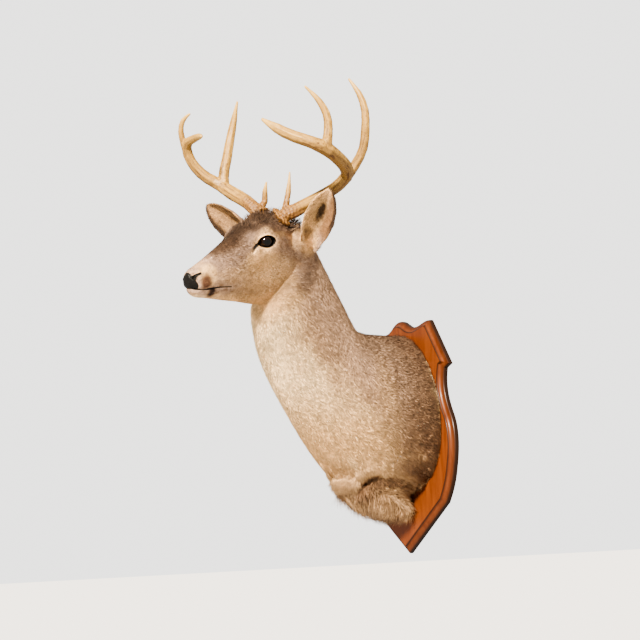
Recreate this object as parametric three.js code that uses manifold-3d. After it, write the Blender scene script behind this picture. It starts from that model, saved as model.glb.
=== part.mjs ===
// Shoulder mount of a white-tailed deer buck on its shaped wooden wall board.
// Millimetres, +Z up. The origin is the middle of the board's back face, so the wall is the plane
// y = 0. The animal looks out along -Y, and +X is its own left.
import * as THREE from 'three';
import { mergeVertices } from 'three/addons/utils/BufferGeometryUtils.js';
import Module from 'manifold-3d';

const wasm = await Module();
wasm.setup();

// ---------------------------------------------------------------------------------------------
// Driving dimensions
// ---------------------------------------------------------------------------------------------

// Clearance between solids that touch.
const GAP = 0.3;

const BOARD = { halfHeight: 243, thickness: 19 };

// Where the tip of the nose is, and how the head is turned on the neck, in degrees:
// turned to its left, nodded down, and tilted with the left side low.
const HEAD = { noseTip: [120, -538, 286], turn: 19, nod: 15.2, tilt: 11.6 };

const EYE = { radius: 17, centre: [39, 177, 50] };

const EAR = { thickness: 3.5, arcPoints: 9 };

// ---------------------------------------------------------------------------------------------
// Solids and lofts
// ---------------------------------------------------------------------------------------------

const vec = (x, y, z) => new THREE.Vector3(x, y, z);
const lerp = THREE.MathUtils.lerp;
const radians = THREE.MathUtils.degToRad;

// A closed geometry as a manifold solid.
function solidOf(geometry) {
  const bare = geometry.clone();
  bare.deleteAttribute('normal');
  bare.deleteAttribute('uv');
  const merged = mergeVertices(bare, 1e-4);
  return new wasm.Manifold(new wasm.Mesh({
    numProp: 3,
    vertProperties: new Float32Array(merged.attributes.position.array),
    triVerts: new Uint32Array(merged.index.array),
  }));
}

// A manifold solid as a flat-shaded geometry.
function geometryOf(solid) {
  const mesh = solid.getMesh();
  const geometry = new THREE.BufferGeometry();
  geometry.setAttribute('position', new THREE.BufferAttribute(mesh.vertProperties, mesh.numProp));
  geometry.setIndex(new THREE.BufferAttribute(mesh.triVerts, 1));
  geometry.computeVertexNormals();
  return geometry;
}

// Six times the signed volume inside a triangle list: positive when its faces point out.
function signedVolume(points, faces) {
  return faces.reduce((sum, [a, b, c]) => {
    return sum + points[a].dot(points[b].clone().cross(points[c]));
  }, 0);
}

function geometryFrom(points, faces) {
  const outward = signedVolume(points, faces) > 0;
  const index = faces.flatMap(([a, b, c]) => (outward ? [a, b, c] : [a, c, b]));
  const geometry = new THREE.BufferGeometry().setFromPoints(points);
  geometry.setIndex(index);
  return geometry;
}

// Triangles that join each ring of `count` points to the next.
function ringWalls(rings, count) {
  const faces = [];
  for (let ring = 0; ring + 1 < rings; ring += 1) {
    for (let side = 0; side < count; side += 1) {
      const next = (side + 1) % count;
      const [a, b] = [ring * count + side, ring * count + next];
      faces.push([a, b, b + count], [a, b + count, a + count]);
    }
  }
  return faces;
}

// A skin through rings of equally many points, each end closed by a fan from its middle.
function loft(rings) {
  const count = rings[0].length;
  const points = rings.flat();
  const faces = ringWalls(rings.length, count);
  const close = (ring, flip) => {
    const middle = ring.reduce((sum, point) => sum.add(point), vec(0, 0, 0)).divideScalar(count);
    const start = points.indexOf(ring[0]);
    points.push(middle);
    for (let side = 0; side < count; side += 1) {
      const [a, b] = [start + side, start + ((side + 1) % count)];
      faces.push(flip ? [b, a, points.length - 1] : [a, b, points.length - 1]);
    }
  };
  close(rings[0], true);
  close(rings.at(-1), false);
  return solidOf(geometryFrom(points, faces));
}

// Numbers that pass smoothly through the values of `key` at the stations.
function smooth(stations, key, at) {
  const values = stations.map((station) => station[key]);
  const curve = new THREE.SplineCurve(values.map((value, index) => new THREE.Vector2(index, value)));
  return curve.getPoint(at / (stations.length - 1)).y;
}

// Stations with `extra` more between each two, every value on a smooth curve.
function fillIn(stations, extra) {
  const steps = (stations.length - 1) * (extra + 1);
  const keys = Object.keys(stations[0]);
  return Array.from({ length: steps + 1 }, (_, step) => {
    const at = step / (extra + 1);
    return Object.fromEntries(keys.map((key) => [key, smooth(stations, key, at)]));
  });
}

// A round-cornered oval: `power` 2 is an ellipse, less is pointed, more is square.
function bulge(value, power) {
  return Math.sign(value) * Math.abs(value) ** (2 / power);
}

const ball = (radius, across, down) => new THREE.SphereGeometry(radius, across, down);

function ellipsoid(centre, [x, y, z], across = 18, down = 12) {
  return ball(1, across, down).scale(x, y, z).translate(...centre);
}

// The solid that a flat outline sweeps in passing from x = -reach to x = +reach.
function acrossBody(outline, reach) {
  const shape = new THREE.Shape(outline.map(([y, z]) => new THREE.Vector2(y, z)));
  const slab = new THREE.ExtrudeGeometry(shape, { depth: 2 * reach, bevelEnabled: false });
  const stand = new THREE.Matrix4().makeBasis(vec(0, 1, 0), vec(0, 0, 1), vec(1, 0, 0));
  return solidOf(slab.translate(0, 0, -reach).applyMatrix4(stand));
}

// ---------------------------------------------------------------------------------------------
// Wall board
// ---------------------------------------------------------------------------------------------

// Right half of the outline, from the middle of the top down to the point at the bottom.
function boardHalfOutline() {
  const tall = BOARD.halfHeight;
  const half = new THREE.Shape();
  half.moveTo(0, tall);
  half.bezierCurveTo(26, tall, 34, 224, 60, 223);
  half.bezierCurveTo(84, 222, 98, 233, 122, 229);
  half.lineTo(188, 132);
  half.lineTo(170, 125);
  half.bezierCurveTo(160, 96, 165, 66, 186, 29);
  half.bezierCurveTo(200, 0, 199, -36, 188, -72);
  half.bezierCurveTo(182, -98, 171, -119, 153, -143);
  half.lineTo(0, -tall);
  return half;
}

// The whole outline, with points only where it bends.
function boardOutline() {
  const right = [];
  for (const curve of boardHalfOutline().curves) {
    const steps = curve.type === 'LineCurve' ? 1 : 4;
    right.push(...curve.getPoints(steps).slice(0, -1));
  }
  const left = right.slice(1).map((point) => new THREE.Vector2(-point.x, point.y)).reverse();
  return [...right, new THREE.Vector2(0, -BOARD.halfHeight), ...left];
}

// The outline moved in by `inset`, its corners kept sharp.
function movedIn(outline, inset) {
  const count = outline.length;
  return outline.map((point, index) => {
    const before = outline[(index + count - 1) % count];
    const after = outline[(index + 1) % count];
    const arriving = point.clone().sub(before).normalize();
    const leaving = after.clone().sub(point).normalize();
    const inwardFirst = new THREE.Vector2(arriving.y, -arriving.x);
    const inwardNext = new THREE.Vector2(leaving.y, -leaving.x);
    const mitre = inwardFirst.clone().add(inwardNext).normalize();
    return point.clone().addScaledVector(mitre, inset / mitre.dot(inwardFirst));
  });
}

// Ogee moulding round the front edge: how far in, and how far out from the wall.
const mouldingProfile = [[0, 0], [0, 7], [1, 9.2], [3.4, 10.4], [7, 11.4], [9.6, 14], [10.6, 17], [12.6, 19]];

function boardSolid() {
  const outline = boardOutline();
  const count = outline.length;
  const rings = mouldingProfile.map(([inset, out]) => (
    movedIn(outline, inset).map((point) => vec(point.x, -out, point.y))));
  const points = rings.flat();
  const faces = ringWalls(rings.length, count);
  const flat = THREE.ShapeUtils.triangulateShape(outline, []);
  const last = points.length - count;
  flat.forEach(([a, b, c]) => faces.push([a, b, c], [last + a, last + c, last + b]));
  return solidOf(geometryFrom(points, faces));
}

// ---------------------------------------------------------------------------------------------
// Neck and trunk
// ---------------------------------------------------------------------------------------------

// Slices through the body, fanned from upright at the board to level at the head. Each gives its
// highest point (top) and its lowest or foremost point (low), its half width, how far up from
// the low point it is widest, and how much it is turned with the head.
const bodyStations = [
  { topX: 0, topY: -19.3, topZ: 208, lowX: 0, lowY: -19.3, lowZ: -128, half: 166, widest: 0.42, turn: 0 },
  { topX: 0, topY: -64, topZ: 212, lowX: 0, lowY: -72, lowZ: -134, half: 164, widest: 0.43, turn: 0 },
  { topX: 0, topY: -112, topZ: 214, lowX: 0, lowY: -128, lowZ: -121, half: 155, widest: 0.44, turn: 0 },
  { topX: 2, topY: -140, topZ: 222, lowX: 0, lowY: -175, lowZ: -80, half: 140, widest: 0.45, turn: 0 },
  { topX: 6, topY: -156, topZ: 246, lowX: 3, lowY: -223, lowZ: -26, half: 122, widest: 0.47, turn: 0.05 },
  { topX: 14, topY: -170, topZ: 272, lowX: 8, lowY: -270, lowZ: 38, half: 104, widest: 0.5, turn: 0.15 },
  { topX: 22, topY: -187, topZ: 300, lowX: 14, lowY: -309, lowZ: 98, half: 90, widest: 0.5, turn: 0.3 },
  { topX: 30, topY: -206, topZ: 328, lowX: 20, lowY: -335, lowZ: 152, half: 80, widest: 0.5, turn: 0.5 },
  { topX: 37, topY: -227, topZ: 358, lowX: 26, lowY: -347, lowZ: 200, half: 74, widest: 0.5, turn: 0.7 },
  { topX: 44, topY: -250, topZ: 390, lowX: 33, lowY: -350, lowZ: 240, half: 68, widest: 0.5, turn: 0.9 },
  { topX: 48, topY: -272, topZ: 412, lowX: 42, lowY: -338, lowZ: 275, half: 54, widest: 0.5, turn: 1 },
];

const BODY_SIDES = 28;

function bodyRing(station, swell) {
  const top = vec(station.topX, station.topY, station.topZ);
  const low = vec(station.lowX, station.lowY, station.lowZ);
  const middle = low.clone().lerp(top, station.widest);
  const up = top.clone().sub(middle);
  const down = low.clone().sub(middle);
  const turned = radians(HEAD.turn * station.turn);
  const across = vec(Math.cos(turned), Math.sin(turned), 0).multiplyScalar(station.half + swell);
  up.setLength(up.length() + swell);
  down.setLength(down.length() + swell);
  return Array.from({ length: BODY_SIDES }, (_, side) => {
    const angle = (2 * Math.PI * side) / BODY_SIDES;
    const rise = Math.sin(angle);
    return middle.clone()
      .addScaledVector(across, bulge(Math.cos(angle), 2.1))
      .addScaledVector(rise > 0 ? up : down, Math.abs(rise));
  });
}

const bodySolid = (swell = 0) => loft(fillIn(bodyStations, 1).map((s) => bodyRing(s, swell)));

// The rolled edge of long brisket hair, under the chest and against the board.
function fringeSolid(body) {
  const roll = ball(1, 16, 12).scale(90, 92, 42);
  roll.applyMatrix4(new THREE.Matrix4().makeRotationX(radians(-27)));
  roll.translate(0, -90, -126);
  const front = new THREE.BoxGeometry(400, 400, 400).translate(0, -200 - BOARD.thickness - GAP, 0);
  return solidOf(roll).intersect(solidOf(front)).subtract(body);
}

// ---------------------------------------------------------------------------------------------
// Head, in its own frame: +X its left, +Y back from the tip of the nose, +Z up
// ---------------------------------------------------------------------------------------------

const headFrame = new THREE.Matrix4().makeRotationFromEuler(
  new THREE.Euler(radians(HEAD.nod), radians(HEAD.tilt), radians(HEAD.turn), 'ZXY'));
headFrame.setPosition(...HEAD.noseTip);

// Slices across the head: distance back, height of the crown, of the widest level and of the
// jaw's lower edge, half width, and how square the upper and lower halves are.
const headStations = [
  { back: 2, top: 6, level: -3, low: -12, half: 8, crown: 2, keel: 2 },
  { back: 5, top: 12, level: -4, low: -22, half: 14.5, crown: 2.2, keel: 2 },
  { back: 12, top: 17, level: -4, low: -32, half: 21, crown: 2.3, keel: 2 },
  { back: 26, top: 22, level: -5, low: -39, half: 25.5, crown: 2.3, keel: 1.9 },
  { back: 46, top: 31, level: -6, low: -44, half: 26.5, crown: 2.1, keel: 1.8 },
  { back: 72, top: 43, level: -6, low: -51, half: 28, crown: 2, keel: 1.7 },
  { back: 100, top: 55, level: 0, low: -58, half: 34, crown: 2, keel: 1.6 },
  { back: 128, top: 67, level: 14, low: -65, half: 43, crown: 2.1, keel: 1.6 },
  { back: 154, top: 77, level: 36, low: -73, half: 52, crown: 2.6, keel: 1.6 },
  { back: 180, top: 85, level: 46, low: -79, half: 58, crown: 2.9, keel: 1.7 },
  { back: 206, top: 91, level: 34, low: -84, half: 59, crown: 2.5, keel: 1.8 },
  { back: 234, top: 93, level: 16, low: -84, half: 61, crown: 2.1, keel: 1.9 },
  { back: 262, top: 85, level: 6, low: -72, half: 59, crown: 2, keel: 2 },
  { back: 290, top: 66, level: 0, low: -48, half: 50, crown: 2, keel: 2 },
  { back: 308, top: 42, level: 0, low: -24, half: 32, crown: 2, keel: 2 },
];

const HEAD_SIDES = 24;

function headRing(station, swell) {
  return Array.from({ length: HEAD_SIDES }, (_, side) => {
    const angle = (2 * Math.PI * (side + 0.5)) / HEAD_SIDES;
    const upper = Math.sin(angle) > 0;
    const power = upper ? station.crown : station.keel;
    const reach = upper ? station.top - station.level : station.level - station.low;
    const x = (station.half + swell) * bulge(Math.cos(angle), power);
    const z = station.level + (reach + swell) * bulge(Math.sin(angle), power);
    return vec(x, station.back, z);
  });
}

const skullSolid = (swell = 0) => loft(fillIn(headStations, 1).map((s) => headRing(s, swell)));

// The muscle that each ear stands on.
function earButt(side, swell = 0) {
  return solidOf(ellipsoid([side * 55, 268, 30], [26 + swell, 34 + swell, 36 + swell], 12, 8));
}

function eyeSolid(side, swell = 0) {
  const [x, back, z] = EYE.centre;
  const globe = ball(EYE.radius + swell, 12, 8);
  return solidOf(globe.translate(side * x, back, z));
}

// The opening between the lids: a lens lying along the line of sight from the side.
function lidOpening(side) {
  const opening = ellipsoid([0, 0, 0], [30, 20, 11.5], 12, 8);
  opening.rotateZ(radians(side * -28));
  return solidOf(opening.translate(side * 58, 168, 50));
}

function nostril(side) {
  const slit = ellipsoid([0, 0, 0], [6, 9, 3.6], 8, 6);
  slit.rotateX(radians(-28)).rotateZ(radians(side * -34));
  return solidOf(slit.translate(side * 20, 9, 8));
}

// Side outlines, in distance back and height, of what is cut from the muzzle.
const nosePadOutline = [[-10, -11], [4, -12], [10, -8], [11, 2], [9, 12], [15, 26], [-10, 26]];
const lowerJawOutline = [[-10, -17.5], [88, -26.5], [140, -100], [-10, -100]];

// The same outline, grown by the clearance.
function grown(outline) {
  const points = outline.map(([y, z]) => new THREE.Vector2(y, z));
  const clockwise = THREE.ShapeUtils.isClockWise(points);
  return movedIn(points, clockwise ? -GAP : GAP).map(({ x, y }) => [x, y]);
}

// ---------------------------------------------------------------------------------------------
// Ears
// ---------------------------------------------------------------------------------------------

// Slices from the root to the tip: how far along, half the width, and how far round from the
// middle of its back each side is rolled, in degrees.
const earStations = [
  { along: 0, half: 17, roll: 125 },
  { along: 0.16, half: 22, roll: 112 },
  { along: 0.34, half: 29, roll: 94 },
  { along: 0.54, half: 32, roll: 80 },
  { along: 0.74, half: 28, roll: 70 },
  { along: 0.88, half: 20, roll: 64 },
  { along: 0.96, half: 11, roll: 60 },
  { along: 1, half: 4, roll: 60 },
];

// A leaf, rolled to a tube at its root and opening to a shallow cup towards the tip.
// `axis` runs from the root to the tip and `open` is the way that the cup faces.
function earSolid(root, axis, open) {
  const tipward = vec(...axis);
  const side = tipward.clone().cross(vec(...open)).normalize();
  const front = side.clone().cross(tipward).normalize();
  const rings = fillIn(earStations, 0).map(({ along, half, roll }) => {
    const reach = half / Math.sin(radians(Math.min(roll, 90)));
    const bow = 10 * Math.sin(Math.PI * along);
    const middle = vec(...root).addScaledVector(tipward, along).addScaledVector(front, reach - bow);
    const arc = (radius) => Array.from({ length: EAR.arcPoints }, (_, point) => {
      const angle = radians(lerp(-roll, roll, point / (EAR.arcPoints - 1)));
      return middle.clone()
        .addScaledVector(side, radius * Math.sin(angle))
        .addScaledVector(front, -radius * Math.cos(angle));
    });
    return [...arc(reach), ...arc(reach - EAR.thickness).reverse()];
  });
  return loftOfStrips(rings);
}

// A skin through rings that are thin strips: the ends are closed across the strip.
function loftOfStrips(rings) {
  const count = rings[0].length;
  const points = rings.flat();
  const faces = ringWalls(rings.length, count);
  const close = (start, flip) => {
    for (let side = 0; side + 1 < count / 2; side += 1) {
      const [a, b] = [start + side, start + side + 1];
      const [c, d] = [start + count - 2 - side, start + count - 1 - side];
      faces.push(...(flip ? [[b, a, c], [c, a, d]] : [[a, b, c], [a, c, d]]));
    }
  };
  close(0, true);
  close(points.length - count, false);
  return solidOf(geometryFrom(points, faces));
}

// ---------------------------------------------------------------------------------------------
// Antlers, in the head's frame
// ---------------------------------------------------------------------------------------------

// A round, tapering branch through its points, each [x, y, z, radius].
function branch(points, sides, swell = 0) {
  const curve = new THREE.CatmullRomCurve3(points.map(([x, y, z]) => vec(x, y, z)), false, 'centripetal');
  const radii = new THREE.SplineCurve(points.map((point, i) => new THREE.Vector2(i, point[3])));
  const steps = (points.length - 1) * 2;
  const frames = curve.computeFrenetFrames(steps, false);
  const rings = [];
  for (let step = 0; step <= steps; step += 1) {
    const along = curve.getUtoTmapping(step / steps);
    const centre = curve.getPoint(along);
    const radius = radii.getPoint(along).y + swell;
    rings.push(Array.from({ length: sides }, (_, side) => {
      const angle = (2 * Math.PI * side) / sides;
      return centre.clone()
        .addScaledVector(frames.normals[step], radius * Math.cos(angle))
        .addScaledVector(frames.binormals[step], radius * Math.sin(angle));
    }));
  }
  return loft(rings);
}

// The knobbly ring where an antler leaves its root on the skull.
function burr([x, y, z], towards, swell) {
  const ring = ellipsoid([0, 0, 0], [25 + swell, 21 + swell, 6.5 + swell], 11, 6);
  const turn = new THREE.Quaternion().setFromUnitVectors(vec(0, 0, 1), vec(...towards).normalize());
  ring.applyQuaternion(turn);
  return solidOf(ring.translate(x, y, z));
}

const antlers = {
  left: {
    beam: [[26, 230, 70, 15], [32, 237, 90, 14.5], [54, 250, 100, 14], [98, 270, 122, 12.6],
      [134, 287, 142, 12], [156, 298, 163, 12.6], [172, 280, 182, 13.4], [183, 242, 206, 13.6],
      [185, 209, 225, 14], [171, 187, 238, 12], [139, 167, 253, 11], [111, 157, 269, 9.4],
      [85, 149, 286, 2.8]],
    fork: 8,
    brow: [[40, 240, 98, 8], [37, 250, 118, 6.4], [35, 260, 140, 5.4], [30, 273, 176, 1.8]],
    second: [[152, 296, 156, 10.5], [164, 311, 178, 10], [180, 324, 212, 9.4], [185, 329, 248, 9],
      [183, 334, 286, 8], [172, 335, 316, 6.4], [149, 331, 349, 2.2]],
    third: [[186, 212, 222, 11], [190, 213, 242, 9.8], [190, 217, 262, 8.8], [187, 219, 284, 8],
      [176, 213, 311, 6.2], [156, 197, 341, 2.2]],
  },
  right: {
    beam: [[-27, 231, 74, 15], [-32, 239, 93, 14.5], [-60, 241, 115, 14.4], [-112, 243, 137, 14.2],
      [-142, 241, 153, 13], [-168, 222, 175, 12], [-184, 208, 203, 10.8], [-189, 202, 228, 10.8],
      [-180, 198, 243, 10], [-156, 194, 251, 8.2], [-128, 184, 256, 6.6], [-104, 168, 257, 2.8]],
    fork: 7,
    brow: [[-36, 246, 104, 8], [-36, 262, 116, 6.8], [-34, 263, 136, 5.6], [-30, 266, 157, 1.8]],
    second: [[-132, 244, 148, 12], [-138, 252, 172, 11.4], [-145, 272, 205, 10.8],
      [-152, 290, 236, 9.8], [-152, 306, 277, 7.6], [-143, 313, 319, 2.2]],
    third: [[-190, 204, 222, 8.8], [-190, 194, 250, 6.8], [-188, 190, 272, 5.8], [-180, 192, 290, 5],
      [-162, 196, 302, 2.2]],
  },
};

// ---------------------------------------------------------------------------------------------
// Materials
// ---------------------------------------------------------------------------------------------

const finish = (color, roughness, metalness = 0) => (
  new THREE.MeshStandardMaterial({ color, roughness, metalness }));
const coat = finish(0x9a7b5b, 0.95);
const paleCoat = finish(0xb79b78, 0.95);
const longHair = finish(0x8c6e4c, 0.95);
const noseLeather = finish(0x17120f, 0.4);
const eyeGlass = finish(0x120b07, 0.05);
const antlerBone = finish(0xc79a5c, 0.6);
const stainedWood = finish(0x9c5320, 0.4);

// ---------------------------------------------------------------------------------------------
// Assembly
// ---------------------------------------------------------------------------------------------

const mount = new THREE.Group();

function add(name, solid, material) {
  const mesh = new THREE.Mesh(geometryOf(solid), material);
  mesh.name = name;
  mount.add(mesh);
}

// Everything on one side of a plane.
function halfSpace({ point, normal }, shift = 0) {
  const size = 1200;
  const towards = vec(...normal).normalize();
  const box = new THREE.BoxGeometry(size, size, size).translate(0, 0, size / 2 + shift);
  box.applyQuaternion(new THREE.Quaternion().setFromUnitVectors(vec(0, 0, 1), towards));
  return solidOf(box.translate(...point));
}

const placed = (solid) => solid.transform(headFrame.elements);

// The trunk ends at a plane from the withers down to the front of the chest, and the neck at one
// from behind the ears to the angle of the jaw, given in the head's frame.
const trunkEnd = { point: [0, -135, 220], normal: [0, -0.94, 0.3] };
const neckEnd = { point: [0, 300, 20], normal: [0, -0.69, 0.72] };

// Head and ear roots, grown by `swell`, in the head's frame.
function headForm(swell = 0) {
  return skullSolid(swell).add(earButt(1, swell)).add(earButt(-1, swell));
}

function addBoardAndBody() {
  add('board', boardSolid(), stainedWood);
  const body = bodySolid();
  add('trunk', body.subtract(halfSpace(trunkEnd)), coat);
  const neck = body.intersect(halfSpace(trunkEnd, GAP));
  const aboveNeck = placed(halfSpace(neckEnd, -GAP));
  add('neck', neck.subtract(aboveNeck).subtract(placed(headForm(GAP))), coat);
  add('brisket_fringe', fringeSolid(bodySolid(GAP)), longHair);
  return body.intersect(placed(halfSpace(neckEnd)));
}

function addHead(nape) {
  let head = headForm();
  for (const side of [1, -1]) {
    head = head.subtract(lidOpening(side)).subtract(eyeSolid(side, GAP)).subtract(nostril(side));
  }
  const pad = acrossBody(nosePadOutline, 18);
  const jaw = acrossBody(lowerJawOutline, 90);
  add('nose', placed(head.intersect(pad)), noseLeather);
  add('lower_jaw', placed(head.intersect(jaw)), paleCoat);
  head = head.subtract(acrossBody(grown(nosePadOutline), 18 + GAP));
  head = head.subtract(acrossBody(grown(lowerJawOutline), 90));
  add('head', placed(head).add(nape), coat);
}

// The main body of a cut solid, without the offcuts of its root.
const largest = (solid) => solid.decompose().sort((a, b) => b.volume() - a.volume())[0];

const toTip = (points, index) => vec(...points[index + 1]).sub(vec(...points[index - 1]));

function addAntler(name) {
  const { beam, fork, brow, second, third } = antlers[name];
  const whole = (swell) => branch(beam, 8, swell).add(burr(beam[1], toTip(beam, 1), swell));
  const beyondFork = { point: beam[fork].slice(0, 3), normal: toTip(beam, fork).toArray() };
  const room = whole(GAP);
  const lower = whole(0).subtract(halfSpace(beyondFork)).subtract(headForm(GAP));
  add(`antler_${name}_beam`, placed(lower), antlerBone);
  add(`antler_${name}_beam_tip`, placed(whole(0).intersect(halfSpace(beyondFork, GAP))), antlerBone);
  for (const [part, points] of Object.entries({ brow, second, third })) {
    add(`antler_${name}_${part}_tine`, placed(largest(branch(points, 7).subtract(room))), antlerBone);
  }
}

const ears = {
  left: { root: [69, 274, 30], axis: [83, -20, 114], open: [0.62, -0.78, 0] },
  right: { root: [-65, 268, 34], axis: [-115, -30, 76], open: [-0.1, -0.95, 0.1] },
};

addHead(addBoardAndBody());
for (const [name, side] of [['left', 1], ['right', -1]]) {
  const { root, axis, open } = ears[name];
  add(`ear_${name}`, placed(earSolid(root, axis, open).subtract(headForm(GAP))), paleCoat);
  add(`eye_${name}`, placed(eyeSolid(side)), eyeGlass);
  addAntler(name);
}

export default mount;
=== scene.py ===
"""Shoulder mount of a white-tailed buck on its wall board: skin, coat, eyes, antlers and board.

Metres, +Z up. The wall is the plane y = 0, the animal looks out along -Y, and +X is its own left.
The head has a frame of its own, in millimetres: x to its left, back from the tip of the nose, z up.
"""

import math
from contextlib import contextmanager

import bmesh
import bpy
import numpy as np
from mathutils import Matrix, Vector


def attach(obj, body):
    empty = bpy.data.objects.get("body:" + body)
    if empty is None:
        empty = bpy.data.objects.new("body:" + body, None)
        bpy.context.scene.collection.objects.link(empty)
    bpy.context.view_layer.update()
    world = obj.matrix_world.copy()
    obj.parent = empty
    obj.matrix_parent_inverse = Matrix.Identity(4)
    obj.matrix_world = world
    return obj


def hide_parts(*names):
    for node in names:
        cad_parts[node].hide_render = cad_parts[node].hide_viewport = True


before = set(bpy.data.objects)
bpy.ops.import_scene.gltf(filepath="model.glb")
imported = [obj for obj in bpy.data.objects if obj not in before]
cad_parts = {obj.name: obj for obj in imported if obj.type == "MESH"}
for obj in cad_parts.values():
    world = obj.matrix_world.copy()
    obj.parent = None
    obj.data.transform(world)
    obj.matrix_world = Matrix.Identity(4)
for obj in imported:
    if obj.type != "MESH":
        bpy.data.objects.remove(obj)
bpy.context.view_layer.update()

MM = 0.001
FLESH = ["trunk", "neck", "head", "lower_jaw", "ear_left", "ear_right"]

# How the head is placed and turned on the neck.
NOSE_TIP = np.array(Vector((0.120, -0.538, 0.286)))
HEAD_TURN = math.radians(19)
HEAD_NOD = math.radians(15.2)
HEAD_TILT = math.radians(11.6)
HEAD_AXES = np.array(
    Matrix.Rotation(HEAD_TURN, 3, "Z")
    @ Matrix.Rotation(HEAD_NOD, 3, "X")
    @ Matrix.Rotation(HEAD_TILT, 3, "Y")
)

# The left eye: its ball, the way that it looks, and the level way to its back corner.
EYE_RADIUS = 17.0
EYE_CENTRE = np.array([39.0, 177.0, 50.0])
EYE_AHEAD = math.radians(22)
EYE_OUT = np.array([math.cos(EYE_AHEAD), -math.sin(EYE_AHEAD), 0.0])
EYE_BACK = np.array([math.sin(EYE_AHEAD), math.cos(EYE_AHEAD), 0.0])
UP = np.array([0.0, 0.0, 1.0])

# The skin lies this far inside the solids, which reach to the tips of the coat.
COAT_DEPTH_BODY = 0.0034
COAT_DEPTH_FACE = 0.0009
COAT_DEPTH_BRISKET = 0.010

# The plane of the board's front.
BOARD_FACE = -0.019

# How fine the skin and the antlers are first made, and how many triangles the skin then keeps on
# the body and on the plain parts of the head.
SKIN_VOXEL = 0.002
ANTLER_VOXEL = 0.0016
BODY_TRIANGLES = 36000
HEAD_TRIANGLES = 34000

# Relaxing a mesh draws each point in by one share and pushes it back out by a little more.
DRAW_IN = 0.6
PUSH_OUT = -0.62

# Stands for the distance of what is nowhere near.
FAR = 99.0


# ---------------- Numbers and meshes ----------------


def in_head(points):
    """Points of the part's frame, in metres, as (x, back, z) in the head's frame, in millimetres."""
    return (points - NOSE_TIP) @ HEAD_AXES / MM


def from_head(points):
    return np.asarray(points, float) * MM @ HEAD_AXES.T + NOSE_TIP


def turned_from_head(vectors):
    return np.asarray(vectors, float) @ HEAD_AXES.T


def ease(value, low, high):
    """0 below low, 1 above high, and a smooth step between."""
    t = np.clip((value - low) / (high - low), 0, 1)
    return t * t * (3 - 2 * t)


def fade(value, low, high):
    """1 below low, 0 above high, and a smooth step between."""
    return 1 - ease(value, low, high)


def bell(value, width, middle=0):
    """1 where value is at the middle, falling softly to 0 about two widths away."""
    return np.exp(-(((value - middle) / width) ** 2))


def distance(points, place):
    return np.linalg.norm(points - np.array(place), axis=1)


def unit(vectors):
    return vectors / np.maximum(np.linalg.norm(vectors, axis=-1, keepdims=True), 1e-12)


def numbers_in(items, key, width=1, kind=np.float32):
    """One property of every item of a mesh's list, as an array with so many columns."""
    flat = np.empty(len(items) * width, kind)
    items.foreach_get(key, flat)
    return flat if width == 1 else flat.reshape(-1, width)


def points_of(mesh):
    return numbers_in(mesh.vertices, "co", 3).astype(float)


def move_points(mesh, points):
    """Gives the mesh's vertices these places."""
    mesh.vertices.foreach_set("co", points.astype(np.float32).ravel())
    mesh.update()


def normals_of(mesh):
    return numbers_in(mesh.vertex_normals, "vector", 3).astype(float)


def edges_of(mesh):
    return numbers_in(mesh.edges, "vertices", 2, np.int32)


def store(mesh, name, values):
    """Stores numbers or vectors on the mesh's vertices."""
    kind, key = ("FLOAT", "value") if values.ndim == 1 else ("FLOAT_VECTOR", "vector")
    attribute = mesh.attributes.get(name) or mesh.attributes.new(name, kind, "POINT")
    attribute.data.foreach_set(key, values.astype(np.float32).ravel())


def store_colours(mesh, name, colours):
    attribute = mesh.attributes.new(name, "FLOAT_COLOR", "POINT")
    opaque = np.c_[colours, np.ones(len(colours))]
    attribute.data.foreach_set("color", opaque.astype(np.float32).ravel())


def rest_of(mesh):
    """Where each point of the skin lay before its folds, lids and lips were pushed in."""
    return numbers_in(mesh.attributes["rest"].data, "vector", 3).astype(float)


def neighbour_mean(values, edges, weights=None):
    """The mean of each vertex's neighbours, with a weight for each edge if given."""
    a, b = edges.T
    weights = np.ones(len(edges)) if weights is None else weights
    count = len(values)
    total = np.bincount(a, weights, count) + np.bincount(b, weights, count)
    columns = values.reshape(count, -1)
    means = [
        np.bincount(a, weights * column[b], count) + np.bincount(b, weights * column[a], count)
        for column in columns.T
    ]
    means = np.stack(means, -1) / np.maximum(total, 1e-12)[:, None]
    return means.reshape(values.shape)


def relax(mesh, rounds, share, steps=(DRAW_IN, PUSH_OUT)):
    """Smooths the mesh by this share. It keeps its volume if each round also pushes back out."""
    points, edges = points_of(mesh), edges_of(mesh)
    share = np.broadcast_to(share, len(points))[:, None]
    for _ in range(rounds):
        for step in steps:
            points += step * share * (neighbour_mean(points, edges) - points)
    move_points(mesh, points)


def mesh_from(bm, name):
    """A new mesh with what this bmesh holds. The bmesh is freed."""
    mesh = bpy.data.meshes.new(name)
    bm.to_mesh(mesh)
    bm.free()
    return mesh


@contextmanager
def editing(mesh):
    """A bmesh of this mesh, which is written back at the end."""
    bm = bmesh.new()
    bm.from_mesh(mesh)
    yield bm
    bm.to_mesh(mesh)
    bm.free()


def bridge(bm, rings):
    """Joins rings of vertices with bands of four-sided faces."""
    for low, high in zip(rings, rings[1:]):
        for index in range(len(low)):
            following = (index + 1) % len(low)
            bm.faces.new([low[index], low[following], high[following], high[index]])


def merged_copy(names):
    """One mesh of copies of these CAD nodes, with their loose triangles joined."""
    bm = bmesh.new()
    for name in names:
        bm.from_mesh(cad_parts[name].data)
    bmesh.ops.remove_doubles(bm, verts=bm.verts, dist=1e-6)
    return mesh_from(bm, "merged")


def baked(obj):
    """The object's mesh with its modifiers applied, as a new mesh. The modifiers are removed."""
    graph = bpy.context.evaluated_depsgraph_get()
    mesh = bpy.data.meshes.new_from_object(obj.evaluated_get(graph), depsgraph=graph)
    obj.modifiers.clear()
    return mesh


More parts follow.
